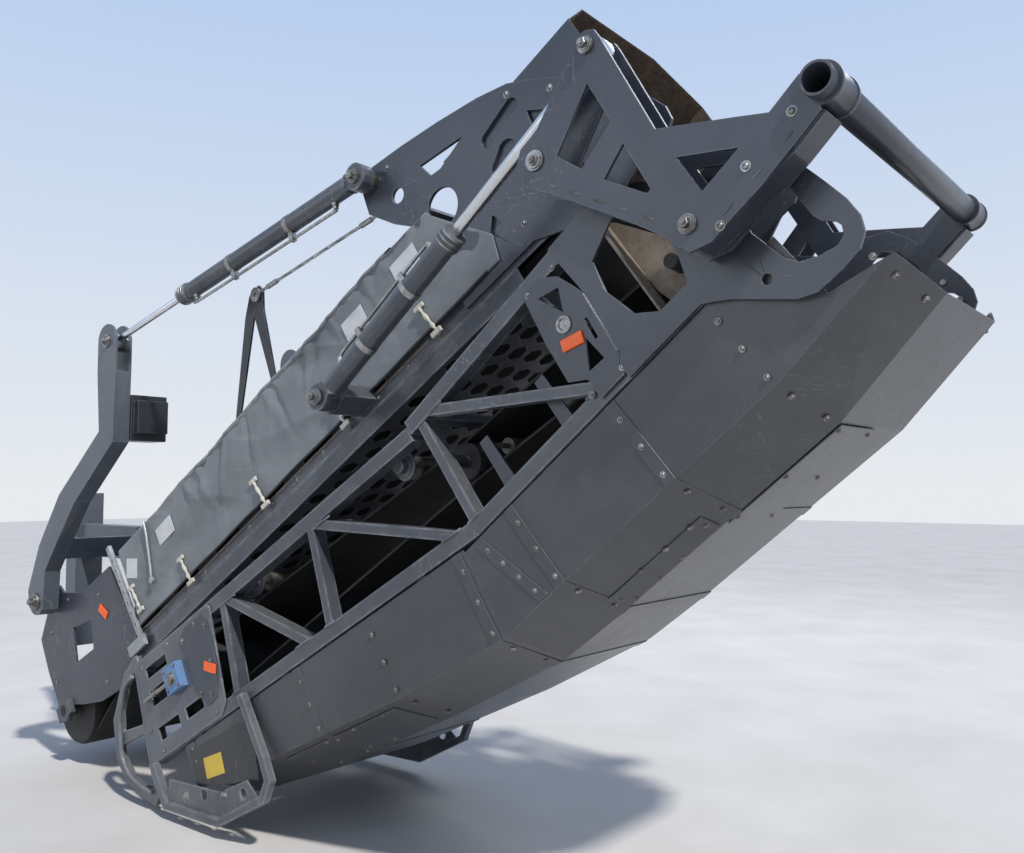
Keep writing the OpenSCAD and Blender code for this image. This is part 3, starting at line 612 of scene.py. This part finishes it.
lined = [section_at(ROOT_HOOD, -0.31), ROOT_HOOD[1], ROOT_HOOD[2]]
hood_sheet("root_hood_liner", OUTER, "outer_section", rust, lined, -0.007, 0.002, (0, 4))
lined = [(x, (SIDE_FACE, 0.195), (SIDE_FACE, 0.590), (0.270, 0.785)) for x in (3.54, 4.236)]
hood_sheet("inner_hood_liner", INNER, "inner_section", rust, lined, -0.0065, 0.002)
SEAM_WIDTH = 0.045
for k, x in enumerate((0.62, 1.156)):
    strip = [section_at(ROOT_HOOD, x), section_at(ROOT_HOOD, x - SEAM_WIDTH)]
    hood_sheet("root_seam_%d" % k, OUTER, "outer_section", hood_paint, strip, 0.0022, 0.003)
for k, x in enumerate((0.10, 1.12, 1.97)):
    strip = [section_at(TIP_HOOD, x), section_at(TIP_HOOD, x + SEAM_WIDTH)]
    hood_sheet("tip_seam_%d" % k, TIP, "outer_section", hood_paint, strip, 0.0022, 0.003)
hood_screws = Piece("hood_screws", "outer_section", bolt_steel, 30)
for m, sections, rows in (
    (OUTER, ROOT_HOOD, (-0.27, 0.16, 0.60, 1.13)),
    (TIP, TIP_HOOD, (0.12, 0.66, 1.14, 1.99)),
):
    for x in rows:
        _, hem, shoulder, top = section_at(sections, x)
        for s in SIDES:
            for t in (0.2, 0.55, 0.9):
                y, z = mixed(hem, shoulder, t)
                hood_screws.screw(m, (x, s * (y + 0.004), z), (0, s, 0.08), 0.011)
            for t in (0.25, 0.8):
                y, z = mixed(shoulder, top, t)
                hood_screws.screw(m, (x, s * (y + 0.003), z + 0.004), (0, s * 0.4, 1), 0.011)
hood_screws.done()

# Access covers on the slanted faces of the hood
covers = Piece("access_covers", "outer_section", hood_paint)
cover_screws = Piece("cover_screws", "outer_section", bolt_steel, 30)


def slanted_plate(m, sections, x0, x1, low, high, s):
    """A plate on the slanted face, from x0 to x1 and from share low to high of its width."""
    corners = []
    for x, share in ((x0, low), (x1, low), (x1, high), (x0, high)):
        _, _, shoulder, top = section_at(sections, x)
        y, z = mixed(shoulder, top, share)
        corners.append(Vector((x, s * y, z)))
    n = (corners[1] - corners[0]).cross(corners[2] - corners[1]).normalized()
    if n.z < 0:
        n = -n
    a = [covers.bm.verts.new(m @ (c + n * 0.0005)) for c in corners]
    b = [covers.bm.verts.new(m @ (c + n * 0.005)) for c in corners]
    covers.bm.faces.new(a[::-1])
    covers.bm.faces.new(b)
    for i in range(4):
        j = (i + 1) % 4
        covers.bm.faces.new((a[i], a[j], b[j], b[i]))
    for i in range(4):
        for t in (0.08, 0.36, 0.64) if i % 2 == 0 else (0.5,):
            p = corners[i].lerp(corners[(i + 1) % 4], t)
            p = p.lerp((corners[0] + corners[2]) * 0.5, 0.09)
            cover_screws.screw(m, p + n * 0.005, n, 0.010)


slanted_plate(OUTER, ROOT_HOOD, 0.66, 1.12, 0.66, 0.97, -1)
for s in SIDES:
    slanted_plate(TIP, TIP_HOOD, 0.75, 1.45, 0.15, 0.9, s)
# One wider cover lies on the flat face and laps over the crease
covers.block(OUTER, (0.155, -0.290, 0.5835), (0.640, 0.02, 0.588))
for x in (0.18, 0.40, 0.61):
    for y in (-0.265, 0.0):
        cover_screws.screw(OUTER, (x, y, 0.588), (0, 0, 1), 0.011)


def hood_side_y(z):
    """Where the leaning side of the root hood lies at height z."""
    return HEM_Y - 0.030 * (z - 0.130) / 0.320


# A lap joint runs up each side just before the bend
LAP_LOW = (1.308, 0.150)
LAP_HIGH = (1.216, 0.444)
for s in SIDES:
    c = []
    for x, z in (LAP_LOW, LAP_HIGH):
        y = hood_side_y(z)
        for dx in (-0.022, 0.022):
            for out in (0.0004, 0.0040):
                c.append(covers.bm.verts.new(OUTER @ Vector((x + dx, s * (y + out), z))))
    for face in ((0, 1, 3, 2), (4, 6, 7, 5), (0, 2, 6, 4), (1, 5, 7, 3), (0, 4, 5, 1), (2, 3, 7, 6)):
        covers.bm.faces.new([c[i] for i in face])
    for i in range(4):
        x, z = mixed(LAP_LOW, LAP_HIGH, (i + 0.5) / 4)
        cover_screws.screw(OUTER, (x, s * (hood_side_y(z) + 0.004), z), (0, s, 0.09), 0.010)
covers.done(0.0012)
cover_screws.done()

# Orange reflectors, the sign's backing panels and the blank sign
def reflector(piece, m, x, y, z, turn, s):
    """A small plate 8 mm thick, standing out from a face at y on side s."""
    r = m @ Matrix.Translation((x, s * y, z)) @ Matrix.Rotation(math.radians(turn), 4, "Y")
    piece.block(r, (-0.045, min(0.0, s * 0.008), -0.022), (0.045, max(0.0, s * 0.008), 0.022))


reflectors = Piece("reflectors_outer", "outer_section", orange)
for s in SIDES:
    reflector(reflectors, OUTER, 0.564, HOOK_FACE, -0.116, 20, s)
    reflector(reflectors, TIP, 1.668, TIP_FACE, -0.195, 33, s)
reflectors.done(0.004)
reflectors = Piece("reflectors_inner", "inner_section", orange)
for s in SIDES:
    reflector(reflectors, INNER, 0.455, TAIL_PLATE_FACE, 0.30, 60, s)
reflectors.done(0.004)
panel = Piece("sign_panels", "outer_section", black_paint)
sign = Piece("blank_sign", "outer_section", yellow)
for s in SIDES:
    outline = [(1.500, 0.100), (2.026, 0.061), (2.036, 0.232), (1.590, 0.350)]
    panel.prism(TIP, outline, s * 0.6045, s * 0.6085)
    r = TIP @ Matrix.Translation((1.865, s * 0.6100, 0.190)) @ Matrix.Rotation(math.radians(8), 4, "Y")
    sign.block(r, (-0.070, -0.0014, -0.046), (0.070, 0.0014, 0.046))
panel.done(0.001)
sign.done(0.001)

# Blue flange bearings of the head drum, over the plain blocks
bearing = Piece("bearing_housings", "outer_section", blue, 35)
bearing_steel = Piece("bearing_inserts", "outer_section", bolt_steel, 30)
flange = [(0.056, -0.004), (0.056, 0.004), (0.046, 0.012), (0.037, 0.013), (0.034, 0.002)]
boss = [(0.017, -0.002), (0.017, 0.006), (0.013, 0.008)]
shaft_end = [(0.027, 0.014), (0.027, 0.026), (0.022, 0.028), (0.008, 0.024)]
for s in SIDES:
    x, y, z = (1.934, s * 0.646, -0.258)
    bearing.turnings(TIP, (x, y, z), (0, s, 0), flange, 32)
    for dx in (-0.047, 0.047):
        for dz in (-0.047, 0.047):
            bearing.turnings(TIP, (x + dx, y, z + dz), (0, s, 0), boss, 16)
            bearing_steel.bolt(TIP, (x + dx, y + s * 0.007, z + dz), (0, s, 0), 0.011, 1)
    bearing_steel.turnings(TIP, (x, y, z), (0, s, 0), [(0.036, 0.0), (0.036, 0.014), (0.030, 0.018)], 24)
    bearing_steel.turnings(TIP, (x, y, z), (0, s, 0), shaft_end, 20)
    bearing_steel.bolt(TIP, (2.12, s * 0.636, z), (1, 0, 0), 0.018, 1)
bearing.done()
bearing_steel.done()

tip_screws = Piece("tip_screws", "outer_section", bolt_steel, 30)
plug = [(0.03, 0), (0.03, 0.005), (0.02, 0.006), (0.018, 0.002)]
for s in SIDES:
    for x, z in ((1.63, -0.38), (1.66, -0.22), (1.72, -0.09), (1.79, -0.12), (1.82, -0.39), (1.70, -0.42)):
        tip_screws.screw(TIP, (x, s * TIP_FACE, z), (0, s, 0), 0.014)
    for x, z in ((2.20, -0.42), (2.26, -0.12), (1.72, 0.0), (2.2, 0.0), (1.95, -0.43)):
        tip_screws.screw(TIP, (x, s * 0.620, z), (0, s, 0), 0.012)
    for x, z in ((0.62, 0.07), (0.47, -0.37), (0.60, -0.37), (0.48, 0.08)):
        tip_screws.screw(OUTER, (x, s * HOOK_FACE, z), (0, s, 0), 0.012)
    tip_screws.turnings(OUTER, (0.554, s * HOOK_FACE, -0.185), (0, s, 0), plug, 28)
tip_screws.done()

# Plug welds in the slots along the lower edge of the lever plates
plugs = Piece("plug_welds", "fold_lever_pair", idler_steel)
for s in SIDES:
    for (x0, z0), (x1, z1), n in (((0.02, -0.088), (0.46, -0.296), 5), ((0.62, -0.335), (0.88, -0.095), 3)):
        for i in range(n):
            x, z = mixed((x0, z0), (x1, z1), (i + 0.5) / n)
            c = LEVER @ Matrix.Translation((x, s * (LEVER_FACE + 0.0005), z + 0.016))
            c = c @ Matrix.Rotation(-math.atan2(z1 - z0, x1 - x0), 4, "Y")
            plugs.block(c, (-0.020, -0.0012, -0.0035), (0.020, 0.0012, 0.0035))
plugs.done(0.0008)

# Weld beads where the braces meet the chords: frame, middle (x, z) and half length of each
BEADS = (
    (OUTER, 0.60, 0.064, 0.05),
    (OUTER, 1.19, -0.37, 0.06),
    (OUTER, 1.274, 0.064, 0.03),
    (OUTER, 1.256, -0.37, 0.03),
    (TIP, 0.10, -0.03, 0.05),
    (TIP, 0.71, -0.41, 0.06),
    (TIP, 0.857, -0.03, 0.03),
    (TIP, 1.04, -0.03, 0.05),
    (TIP, 1.42, -0.41, 0.05),
    (TIP, 1.555, -0.03, 0.03),
)
beads = Piece("weld_beads", "outer_section", truss_paint, 60)


def bead(m, p, q, r=0.006):
    """A rippled bead of radius r from p to q."""
    n = max(4, int((Vector(q) - Vector(p)).length / 0.006))
    line = [Vector(p).lerp(Vector(q), i / n) for i in range(n + 1)]
    beads.tube(m, line, r, 6, lambda i: 1.0 + 0.22 * math.sin(i * 2.4))


for s in SIDES:
    for m, x, z, half in BEADS:
        bead(m, (x - half, s * TRUSS_FACE, z), (x + half, s * TRUSS_FACE, z))
    bead(OUTER, (0.436, s * HOOK_FACE, -0.21), (0.458, s * HOOK_FACE, 0.03), 0.005)
    bead(OUTER, (0.486, s * HOOK_FACE, 0.10), (0.6, s * HOOK_FACE, 0.10), 0.004)
beads.done()


# Hydraulic pipes clipped along the barrels, with their fittings, clamps and the rings of the glands
def barrel_pipes(name, body, m, middle, r, length):
    """Pipes of one pair of barrels with radius r, whose middle planes lie at y = middle."""
    pipe = Piece(name, body, zinc, 40)
    clamp = [(r - 0.002, 0), (r + 0.003, 0), (r + 0.003, 0.024), (r - 0.002, 0.024)]
    rim = [(r + 0.003, 0), (r + 0.006, 0), (r + 0.0085, 0.002), (r + 0.006, 0.006), (r + 0.003, 0.006)]
    z = r + 0.018
    route = [(0.16, z - 0.022), (0.16, z), (0.19, z + 0.012), (0.24, z + 0.012)]
    route += [(length - 0.16, z + 0.012), (length - 0.12, z), (length - 0.11, z - 0.016)]
    for s in SIDES:
        y = s * middle
        pipe.tube(m, curve_points([(x, y, h) for x, h in route], 5), 0.007, 10)
        for x in (0.16, length - 0.112):
            pipe.turnings(m, (x, y, r - 0.004), (0, 0, 1), [(0.017, 0), (0.017, 0.012), (0.012, 0.014)], 6)
            pipe.turnings(m, (x, y, r + 0.008), (0, 0, 1), [(0.012, 0), (0.012, 0.014), (0.009, 0.016)], 6)
        for x in (length * 0.35, length * 0.68):
            pipe.turnings(m, (x - 0.012, y, 0), (1, 0, 0), clamp, 32, hollow=True)
            pipe.block(m, (x - 0.012, y - 0.013, r), (x + 0.012, y + 0.013, r + 0.04))
        for k in range(3):
            x = length - 0.004 - k * 0.02
            pipe.turnings(m, (x - 0.007, y, 0), (1, 0, 0), rim, 32, hollow=True)
    pipe.done()


barrel_pipes("lift_pipes", "lift_barrel_pair", LIFT, LIFT_Y, 0.040, 1.29)
barrel_pipes("fold_pipes", "fold_barrel_pair", FOLD, FOLD_Y, 0.042, 0.87)

# Wire rope stays: six strands laid round the line of each plain rope
stay = Piece("stay_strands", "inner_section", zinc, 60)
ROPE_FOOT = Vector((2.332, 0.0, 0.956))
ROPE_HEAD = Vector((3.138, 0.0, 0.704))
STRANDS = 6
LAYS = 16
ROPE_STEPS = 150
across = Vector((0, 1, 0))
upright = (ROPE_HEAD - ROPE_FOOT).normalized().cross(across)
for s in SIDES:
    for k in range(STRANDS):
        path = []
        for i in range(ROPE_STEPS + 1):
            t = i / ROPE_STEPS
            a = 2 * math.pi * (k / STRANDS + t * LAYS)
            c = ROPE_FOOT.lerp(ROPE_HEAD, 0.01 + 0.98 * t) + Vector((0, s * ROPE_Y, 0))
            path.append(c + (across * math.cos(a) + upright * math.sin(a)) * 0.0048)
        stay.tube(INNER, path, 0.0027, 5)
stay.done()

# Tarpaulin: one sheet from hem to hem, sagging between the bows, with its ends cut to shape
TARP_START = 0.742
TARP_TOP_END = 3.098
SHEET_Y = 0.5273
EDGE_Y = 0.470
HEM_V = 0.062
TOP_V = 0.5455
# The slanted far end of the sides, as (height, place along the section)
SIDE_END = [(0.052, 3.544), (0.167, 3.572), (0.338, 3.450), (0.441, 3.379), (0.480, 3.362)]
BOWS = (0.742, 0.78, 1.42, 1.86, 2.18, 2.94, 3.33, 3.6)
# Labels lie flat: place along, height, turn in degrees, half length, half height
LABELS = (
    (0.817, 0.354, 30, 0.05, 0.05),
    (1.178, 0.362, 0, 0.075, 0.045),
    (2.816, 0.354, 0, 0.07, 0.05),
    (3.172, 0.373, 0, 0.075, 0.045),
)
# Points along the closing bar, and the latches, which press the sheet flat
BAR_POINTS = ((1.035, 0.47), (1.02, 0.40), (1.0, 0.33), (0.98, 0.27), (0.96, 0.21))
LATCHES = ((0.79, 0.175), (1.25, 0.076), (1.93, 0.082), (2.55, 0.080), (3.16, 0.080))


def tarp_end(v):
    """Where the sheet ends at height v of its sides; its top ends at the hood."""
    if v > 0.481:
        return TARP_TOP_END
    for (v0, u0), (v1, u1) in zip(SIDE_END, SIDE_END[1:]):
        if v <= v1:
            t = max(0.0, (v - v0) / (v1 - v0))
            return u0 + (u1 - u0) * t
    return SIDE_END[-1][1]


def girth():
    """Points (y, v) of the sheet's cross-section from hem to hem."""
    near = []
    for (y0, v0), (y1, v1), steps in (
        ((SHEET_Y, HEM_V), (SHEET_Y, 0.498), 40),
        ((SHEET_Y, 0.498), (EDGE_Y, TOP_V), 6),
    ):
        for i in range(steps):
            t = i / steps
            near.append((y0 + (y1 - y0) * t, v0 + (v1 - v0) * t))
    top = [(EDGE_Y - 2 * EDGE_Y * i / 15, TOP_V) for i in range(16)]
    return near + top + [(-y, v) for y, v in near[::-1]]


# Creases run down from the bows: where each starts and ends along and up the side, its height and width
drape = random.Random(11)
CREASES = {-1: [], 1: []}
for side, creases in CREASES.items():
    for bow in (0.95, 1.1, 1.3, 1.42, 1.56, 1.7, 1.86, 2.0, 2.18, 2.34, 2.5, 2.64, 2.94, 3.08, 3.33):
        for direction in (-1, 1):
            start = bow + drape.uniform(-0.05, 0.05)
            end = start + drape.uniform(-0.30, 0.10)
            low = drape.uniform(0.10, 0.33)
            height = drape.uniform(0.006, 0.012) * direction
            creases.append((start, 0.515, end, low, height, drape.uniform(0.014, 0.028)))


def creased(u, v, side):
    """Height of the creases at a point on one side of the sheet."""
    total = 0.0
    for u0, v0, u1, v1, height, width in CREASES[side]:
        du = u1 - u0
        dv = v1 - v0
        t = ((u - u0) * du + (v - v0) * dv) / (du * du + dv * dv)
        if -0.1 < t < 1.1:
            away = ((u - u0) * dv - (v - v0) * du) / math.hypot(du, dv) / width
            if abs(away) < 3:
                fade = min(1.0, max(0.0, (t + 0.1) / 0.25)) * min(1.0, max(0.0, (1.1 - t) / 0.6))
                total += height * fade * math.exp(-away * away)
    return max(-0.012, min(0.014, total))


def bell(u, v, at_u, at_v, wide, high):
    """A smooth bump of height 1 in the side of the sheet."""
    return math.exp(-((u - at_u) / wide) ** 2 - ((v - at_v) / high) ** 2)


def calmness(u, v):
    """0 where a label, bar or latch holds the sheet flat, 1 where it is free."""
    calm = 1.0
    for label in LABELS:
        calm *= 1.0 - bell(u, v, label[0], label[1], 0.13, 0.10)
    for bar_u, bar_v in BAR_POINTS:
        calm *= 1.0 - 0.8 * bell(u, v, bar_u, bar_v, 0.05, 0.05)
    for latch_u, latch_v in LATCHES:
        calm *= 1.0 - 0.9 * bell(u, v, latch_u, latch_v + 0.06, 0.06, 0.07)
    return calm


def soft_folds(u, v, y):
    """Low waves and pulls that cross the whole sheet."""
    lean = u * 9.0 + v * 16.0 + (1.6 if y > 0 else 0.0)
    fold = math.sin(lean) * 0.5 + math.sin(lean * 2.3 + 1.1) * 0.3 + math.sin(u * 31.0 - v * 22.0) * 0.2
    crease = 1.0 - abs(math.sin(u * 5.1 + v * 9.0 + y * 2.0 + 0.4 * math.sin(u * 7.0)))
    fold += 0.8 * crease ** 4 - 0.5 * (1.0 - abs(math.sin(u * 7.7 - v * 13.0 + 0.9))) ** 6
    wave = math.sin(v * 26.0 + 1.3 * math.sin(u * 3.1) + 0.8 * math.sin(u * 8.3 + v * 6.0))
    return fold + 0.9 * wave


def draped(u, v, y):
    """How far the sheet stands off its plain form, outwards on the sides and up on the top."""
    gap = min(abs(u - b) for b in BOWS)
    sag = min(1.0, gap / 0.22) ** 2
    hem = min(1.0, max(0.0, (v - HEM_V) / 0.12))
    amount = (-0.004 - 0.010 * sag + 0.0060 * soft_folds(u, v, y) * (0.35 + 0.65 * sag)) * (0.25 + 0.75 * hem)
    if abs(y) > 0.469:
        amount = (amount + creased(u, v, 1 if y > 0 else -1) * hem) * calmness(u, v)
    pull = math.exp(-((u - 1.93) / 0.05) ** 2) + math.exp(-((u - 1.25) / 0.05) ** 2)
    return amount - 0.0045 * pull * (1.0 - hem * 0.6)


TARP_COLUMNS = 260
bm = bmesh.new()
grid = []
for y, v in girth():
    row = []
    u1 = tarp_end(v)
    for c in range(TARP_COLUMNS + 1):
        u = TARP_START + (u1 - TARP_START) * c / TARP_COLUMNS
        amount = draped(u, v, y)
        if abs(y) < 0.469:
            p = Vector((u, y, v + amount))
        else:
            p = Vector((u, y + (amount if y > 0 else -amount), v))
        row.append(bm.verts.new(INNER @ p))
    grid.append(row)


def in_slit(p):
    """The masts of the stays stand on their bows through two slits on each side."""
    near_mast = any(abs(p.x - mast) < 0.034 for mast in (1.86, 2.18))
    return 0.43 < abs(p.y) < 0.462 and near_mast and p.z > 0.5


to_inner = INNER.inverted()
for a, b in zip(grid, grid[1:]):
    for c in range(TARP_COLUMNS):
        corners = [a[c], b[c], b[c + 1], a[c + 1]]
        if not in_slit(to_inner @ (sum((w.co for w in corners), Vector()) / 4)):
            bm.faces.new(corners)
drop_loose(bm)
tarp = linked_object("tarpaulin", bm, cloth)
for f in tarp.data.polygons:
    f.use_smooth = True
skin = tarp.modifiers.new("thickness", "SOLIDIFY")
skin.thickness = 0.0016
skin.offset = 0.0
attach(tarp, "inner_section")
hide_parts("cover_tarpaulin")

# Hem band, latches, labels and the closing bar on the sides of the tarpaulin
hems = Piece("tarpaulin_hems", "inner_section", hose_rubber, 50)
latches = Piece("rubber_latches", "inner_section", cream, 50)
labels = Piece("blank_labels", "inner_section", white)
bars = Piece("closing_bars", "inner_section", galvanised, 40)
knob = [(0.008, -0.012), (0.018, -0.008), (0.018, 0.004), (0.012, 0.009)]
for s in SIDES:
    y = s * 0.5282
    hem = [(0.75 + i * 0.07, s * 0.5265, 0.064 + 0.002 * math.sin(i)) for i in range(40)]
    hems.tube(INNER, hem, 0.006, 8)
    for u, v in LATCHES:
        strap = [
            (u + 0.012, y, v - 0.046),
            (u + 0.006, y + s * 0.010, v - 0.03),
            (u, y + s * 0.008, v),
            (u - 0.012, y + s * 0.007, v + 0.05),
            (u - 0.02, y + s * 0.004, v + 0.09),
        ]
        latches.tube(INNER, curve_points(strap, 4), 0.0075, 8, lambda i: 1.0 + 0.35 * math.sin(i * 1.3))
        for u0, u1, v0, v1, out in (
            (u - 0.024, u + 0.030, v - 0.058, v - 0.038, s * 0.012),
            (u - 0.046, u + 0.006, v + 0.084, v + 0.102, s * 0.010),
        ):
            latches.block(INNER, (u0, min(y, y + out), v0), (u1, max(y, y + out), v1))
    for u, v, turn, half, high in LABELS:
        r = INNER @ Matrix.Translation((u, y, v)) @ Matrix.Rotation(math.radians(turn), 4, "Y")
        labels.block(r, (-half, -0.0012, -high), (half, 0.0012, high))
    bar_y = s * 0.536
    rod = [(1.037, s * 0.532, 0.50), (1.03, bar_y, 0.42), (0.985, bar_y, 0.27), (0.965, bar_y, 0.215)]
    bars.tube(INNER, curve_points(rod, 6), 0.007, 10)
    bars.turnings(INNER, (0.958, bar_y, 0.205), (0, s, 0), knob, 16)
hems.done()
latches.done()
labels.done(0.0008)
bars.done()

# Ribs and dust strips along the side frames under the tarpaulin
ribs = Piece("side_ribs", "inner_section", dusty, 40)
for s in SIDES:
    for v, thick in ((0.045, 0.004), (0.128, 0.004), (0.150, 0.006)):
        y0 = s * SIDE_FACE
        y1 = s * (SIDE_FACE + thick)
        ribs.block(INNER, (0.72, min(y0, y1), v), (3.1, max(y0, y1), v + 0.008))
ribs.done(0.001)

# Return rollers under the outer belt, with their round end brackets
rollers = Piece("return_rollers", "outer_section", idler_steel, 40)
ends = Piece("return_roller_brackets", "outer_section", truss_paint, 40)
roller_end = [(0.014, -0.500), (0.014, -0.452), (0.041, -0.450), (0.042, -0.445)]
roller_form = roller_end + [(r, -h) for r, h in roller_end[::-1]]
bracket_form = [(0.052, 0), (0.056, 0.004), (0.056, 0.012), (0.030, 0.016), (0.030, 0.051)]
for x, z in ((0.270, -0.4198), (1.330, -0.4412)):
    rollers.turnings(TIP, (x, 0, z), (0, 1, 0), roller_form, 32)
    for s in SIDES:
        ends.turnings(TIP, (x, s * 0.500, z), (0, s, 0), bracket_form, 32)
        for k in range(5):
            a = math.radians(20 + 72 * k)
            c = (x + 0.043 * math.cos(a), s * 0.500, z + 0.043 * math.sin(a))
            ends.turnings(TIP, c, (0, -s, 0), [(0.007, -0.002), (0.007, 0.004), (0.005, 0.006)], 8)
rollers.done()
ends.done()

# Bent pipe rims on the guard arches: a thick outer one and a thin inner one, as (x, z)
OUTER_RIM = [
    (2.262, -0.492),
    (2.378, -0.452),
    (2.458, -0.388),
    (2.566, -0.290),
    (2.622, -0.119),
    (2.584, 0.0),
    (2.496, 0.098),
    (2.402, 0.180),
]
INNER_RIM = [
    (2.300, -0.415),
    (2.395, -0.395),
    (2.480, -0.305),
    (2.535, -0.190),
    (2.560, -0.100),
    (2.530, 0.0),
    (2.450, 0.085),
    (2.385, 0.135),
]
rims = Piece("arch_rims", "outer_section", pipe_paint, 60)
for s in SIDES:
    rims.tube(TIP, curve_points([(x, s * 0.595, z) for x, z in OUTER_RIM], 6), 0.0168, 14)
    rims.tube(TIP, curve_points([(x, s * HOOK_FACE, z) for x, z in INNER_RIM], 6), 0.0105, 10)
rims.done()

# A shackle at each rope's head: a half round bow, two legs and a pin
shackle = Piece("shackles", "inner_section", blue, 50)
for s in SIDES:
    y = s * ROPE_Y
    bow = []
    for i in range(13):
        a = math.pi * i / 12
        bow.append((3.122 + 0.016 * math.sin(a), y + 0.020 * math.cos(a), 0.709))
    shackle.tube(INNER, bow, 0.005, 8)
    for leg in (-0.020, 0.020):
        shackle.tube(INNER, [(3.122, y + leg, 0.709), (3.160, y + leg, 0.704)], 0.005, 8)
    shackle.turnings(INNER, (3.158, y - 0.030, 0.704), (0, 1, 0), [(0.007, 0), (0.007, 0.060)], 10)
shackle.done()

# Brush of the head scraper
BRISTLES = 420
brush = Piece("head_brush", "outer_section", bristle)
for k in range(BRISTLES):
    y = random.uniform(-0.44, 0.44)
    x = 2.245 + random.uniform(-0.012, 0.012)
    tip_x = x + random.uniform(-0.02, 0.03)
    tip_y = y + random.uniform(-0.012, 0.012)
    tip_z = -0.225 + random.uniform(-0.02, 0.02)
    brush.tube(TIP, [(x, y, -0.15), (tip_x, tip_y, tip_z)], 0.0022, 3)
brush.done()

# Floor
bpy.ops.mesh.primitive_plane_add(size=80, location=(2.5, 0, ground))
floor = bpy.context.object
floor.name = "floor"
stone = Nodes("floor")
patches = stone.ramp(stone.noise(1.2, 5.0), [(0.3, 0.0), (0.7, 1.0)])
stone.color(stone.mix(patches, (0.60, 0.58, 0.55), (0.68, 0.665, 0.64)))
stone.bsdf.inputs["Roughness"].default_value = 0.85
floor.data.materials.append(stone.mat)

# Lights
MIDDLE = Vector((3.0, 0, 1.0))


def placed(obj, location, target):
    """Puts a lamp at location, pointing at target."""
    scene.collection.objects.link(obj)
    obj.location = location
    obj.rotation_euler = (target - obj.location).to_track_quat("-Z", "Y").to_euler()


def area_light(name, location, size, power, color):
    data = bpy.data.lights.new(name, "AREA")
    data.shape = "RECTANGLE"
    data.size = size[0]
    data.size_y = size[1]
    data.energy = power
    data.color = color
    placed(bpy.data.objects.new(name, data), location, MIDDLE)


sun = bpy.data.lights.new("sun", "SUN")
sun.energy = 3.1
sun.angle = math.radians(3.0)
sun.color = (1.0, 0.965, 0.91)
placed(bpy.data.objects.new("sun", sun), (9.0, -2.3, 8.6), Vector((3.0, 0, 0.9)))
area_light("fill", (0.5, -9.0, 4.0), (7, 5), 125, (0.86, 0.92, 1.0))
area_light("back", (3.0, 7.5, 7.5), (6, 4), 240, (0.93, 0.96, 1.0))

# Sky: one colour run lights the scene, and a paler one is what the eye and mirrors see
world = bpy.data.worlds.new("sky")
scene.world = world
world.use_nodes = True
sky = world.node_tree.nodes
links = world.node_tree.links
coord = sky.new("ShaderNodeTexCoord")
split = sky.new("ShaderNodeSeparateXYZ")
links.new(coord.outputs["Generated"], split.inputs["Vector"])


def sky_run(background, level, high, zenith):
    """Colours a background from the level of the eye up to the height high."""
    ramp = sky.new("ShaderNodeValToRGB")
    ramp.color_ramp.elements[0].position = 0.0
    ramp.color_ramp.elements[0].color = (*level, 1)
    ramp.color_ramp.elements[1].position = high
    ramp.color_ramp.elements[1].color = (*zenith, 1)
    links.new(split.outputs["Z"], ramp.inputs["Fac"])
    links.new(ramp.outputs["Color"], background.inputs["Color"])


lit = sky["Background"]
lit.inputs["Strength"].default_value = 0.45
sky_run(lit, (0.82, 0.86, 0.92), 0.75, (0.24, 0.43, 0.86))
seen = sky.new("ShaderNodeBackground")
sky_run(seen, (0.80, 0.83, 0.86), 0.55, (0.42, 0.58, 0.86))
ray = sky.new("ShaderNodeLightPath")
either = sky.new("ShaderNodeMath")
either.operation = "MAXIMUM"
links.new(ray.outputs["Is Camera Ray"], either.inputs[0])
links.new(ray.outputs["Is Glossy Ray"], either.inputs[1])
blend = sky.new("ShaderNodeMixShader")
links.new(either.outputs[0], blend.inputs["Fac"])
links.new(lit.outputs[0], blend.inputs[1])
links.new(seen.outputs[0], blend.inputs[2])
links.new(blend.outputs[0], sky["World Output"].inputs["Surface"])

# Camera: turned left of the belt's cross direction and slightly up
turn_left = math.radians(38.603)
tilt_up = math.radians(3.644)
cam_data = bpy.data.cameras.new("camera")
cam = bpy.data.objects.new("camera", cam_data)
scene.collection.objects.link(cam)
scene.camera = cam
cam_data.sensor_width = 36.0
cam_data.lens = 950.0 / 1024.0 * 36.0
cam_data.clip_end = 200
cam.location = (6.25, -3.16, 1.0)
level_part = math.cos(tilt_up)
ahead = Vector((-math.sin(turn_left) * level_part, math.cos(turn_left) * level_part, math.sin(tilt_up)))
cam.rotation_euler = ahead.to_track_quat("-Z", "Y").to_euler()
scene.view_settings.view_transform = "Standard"
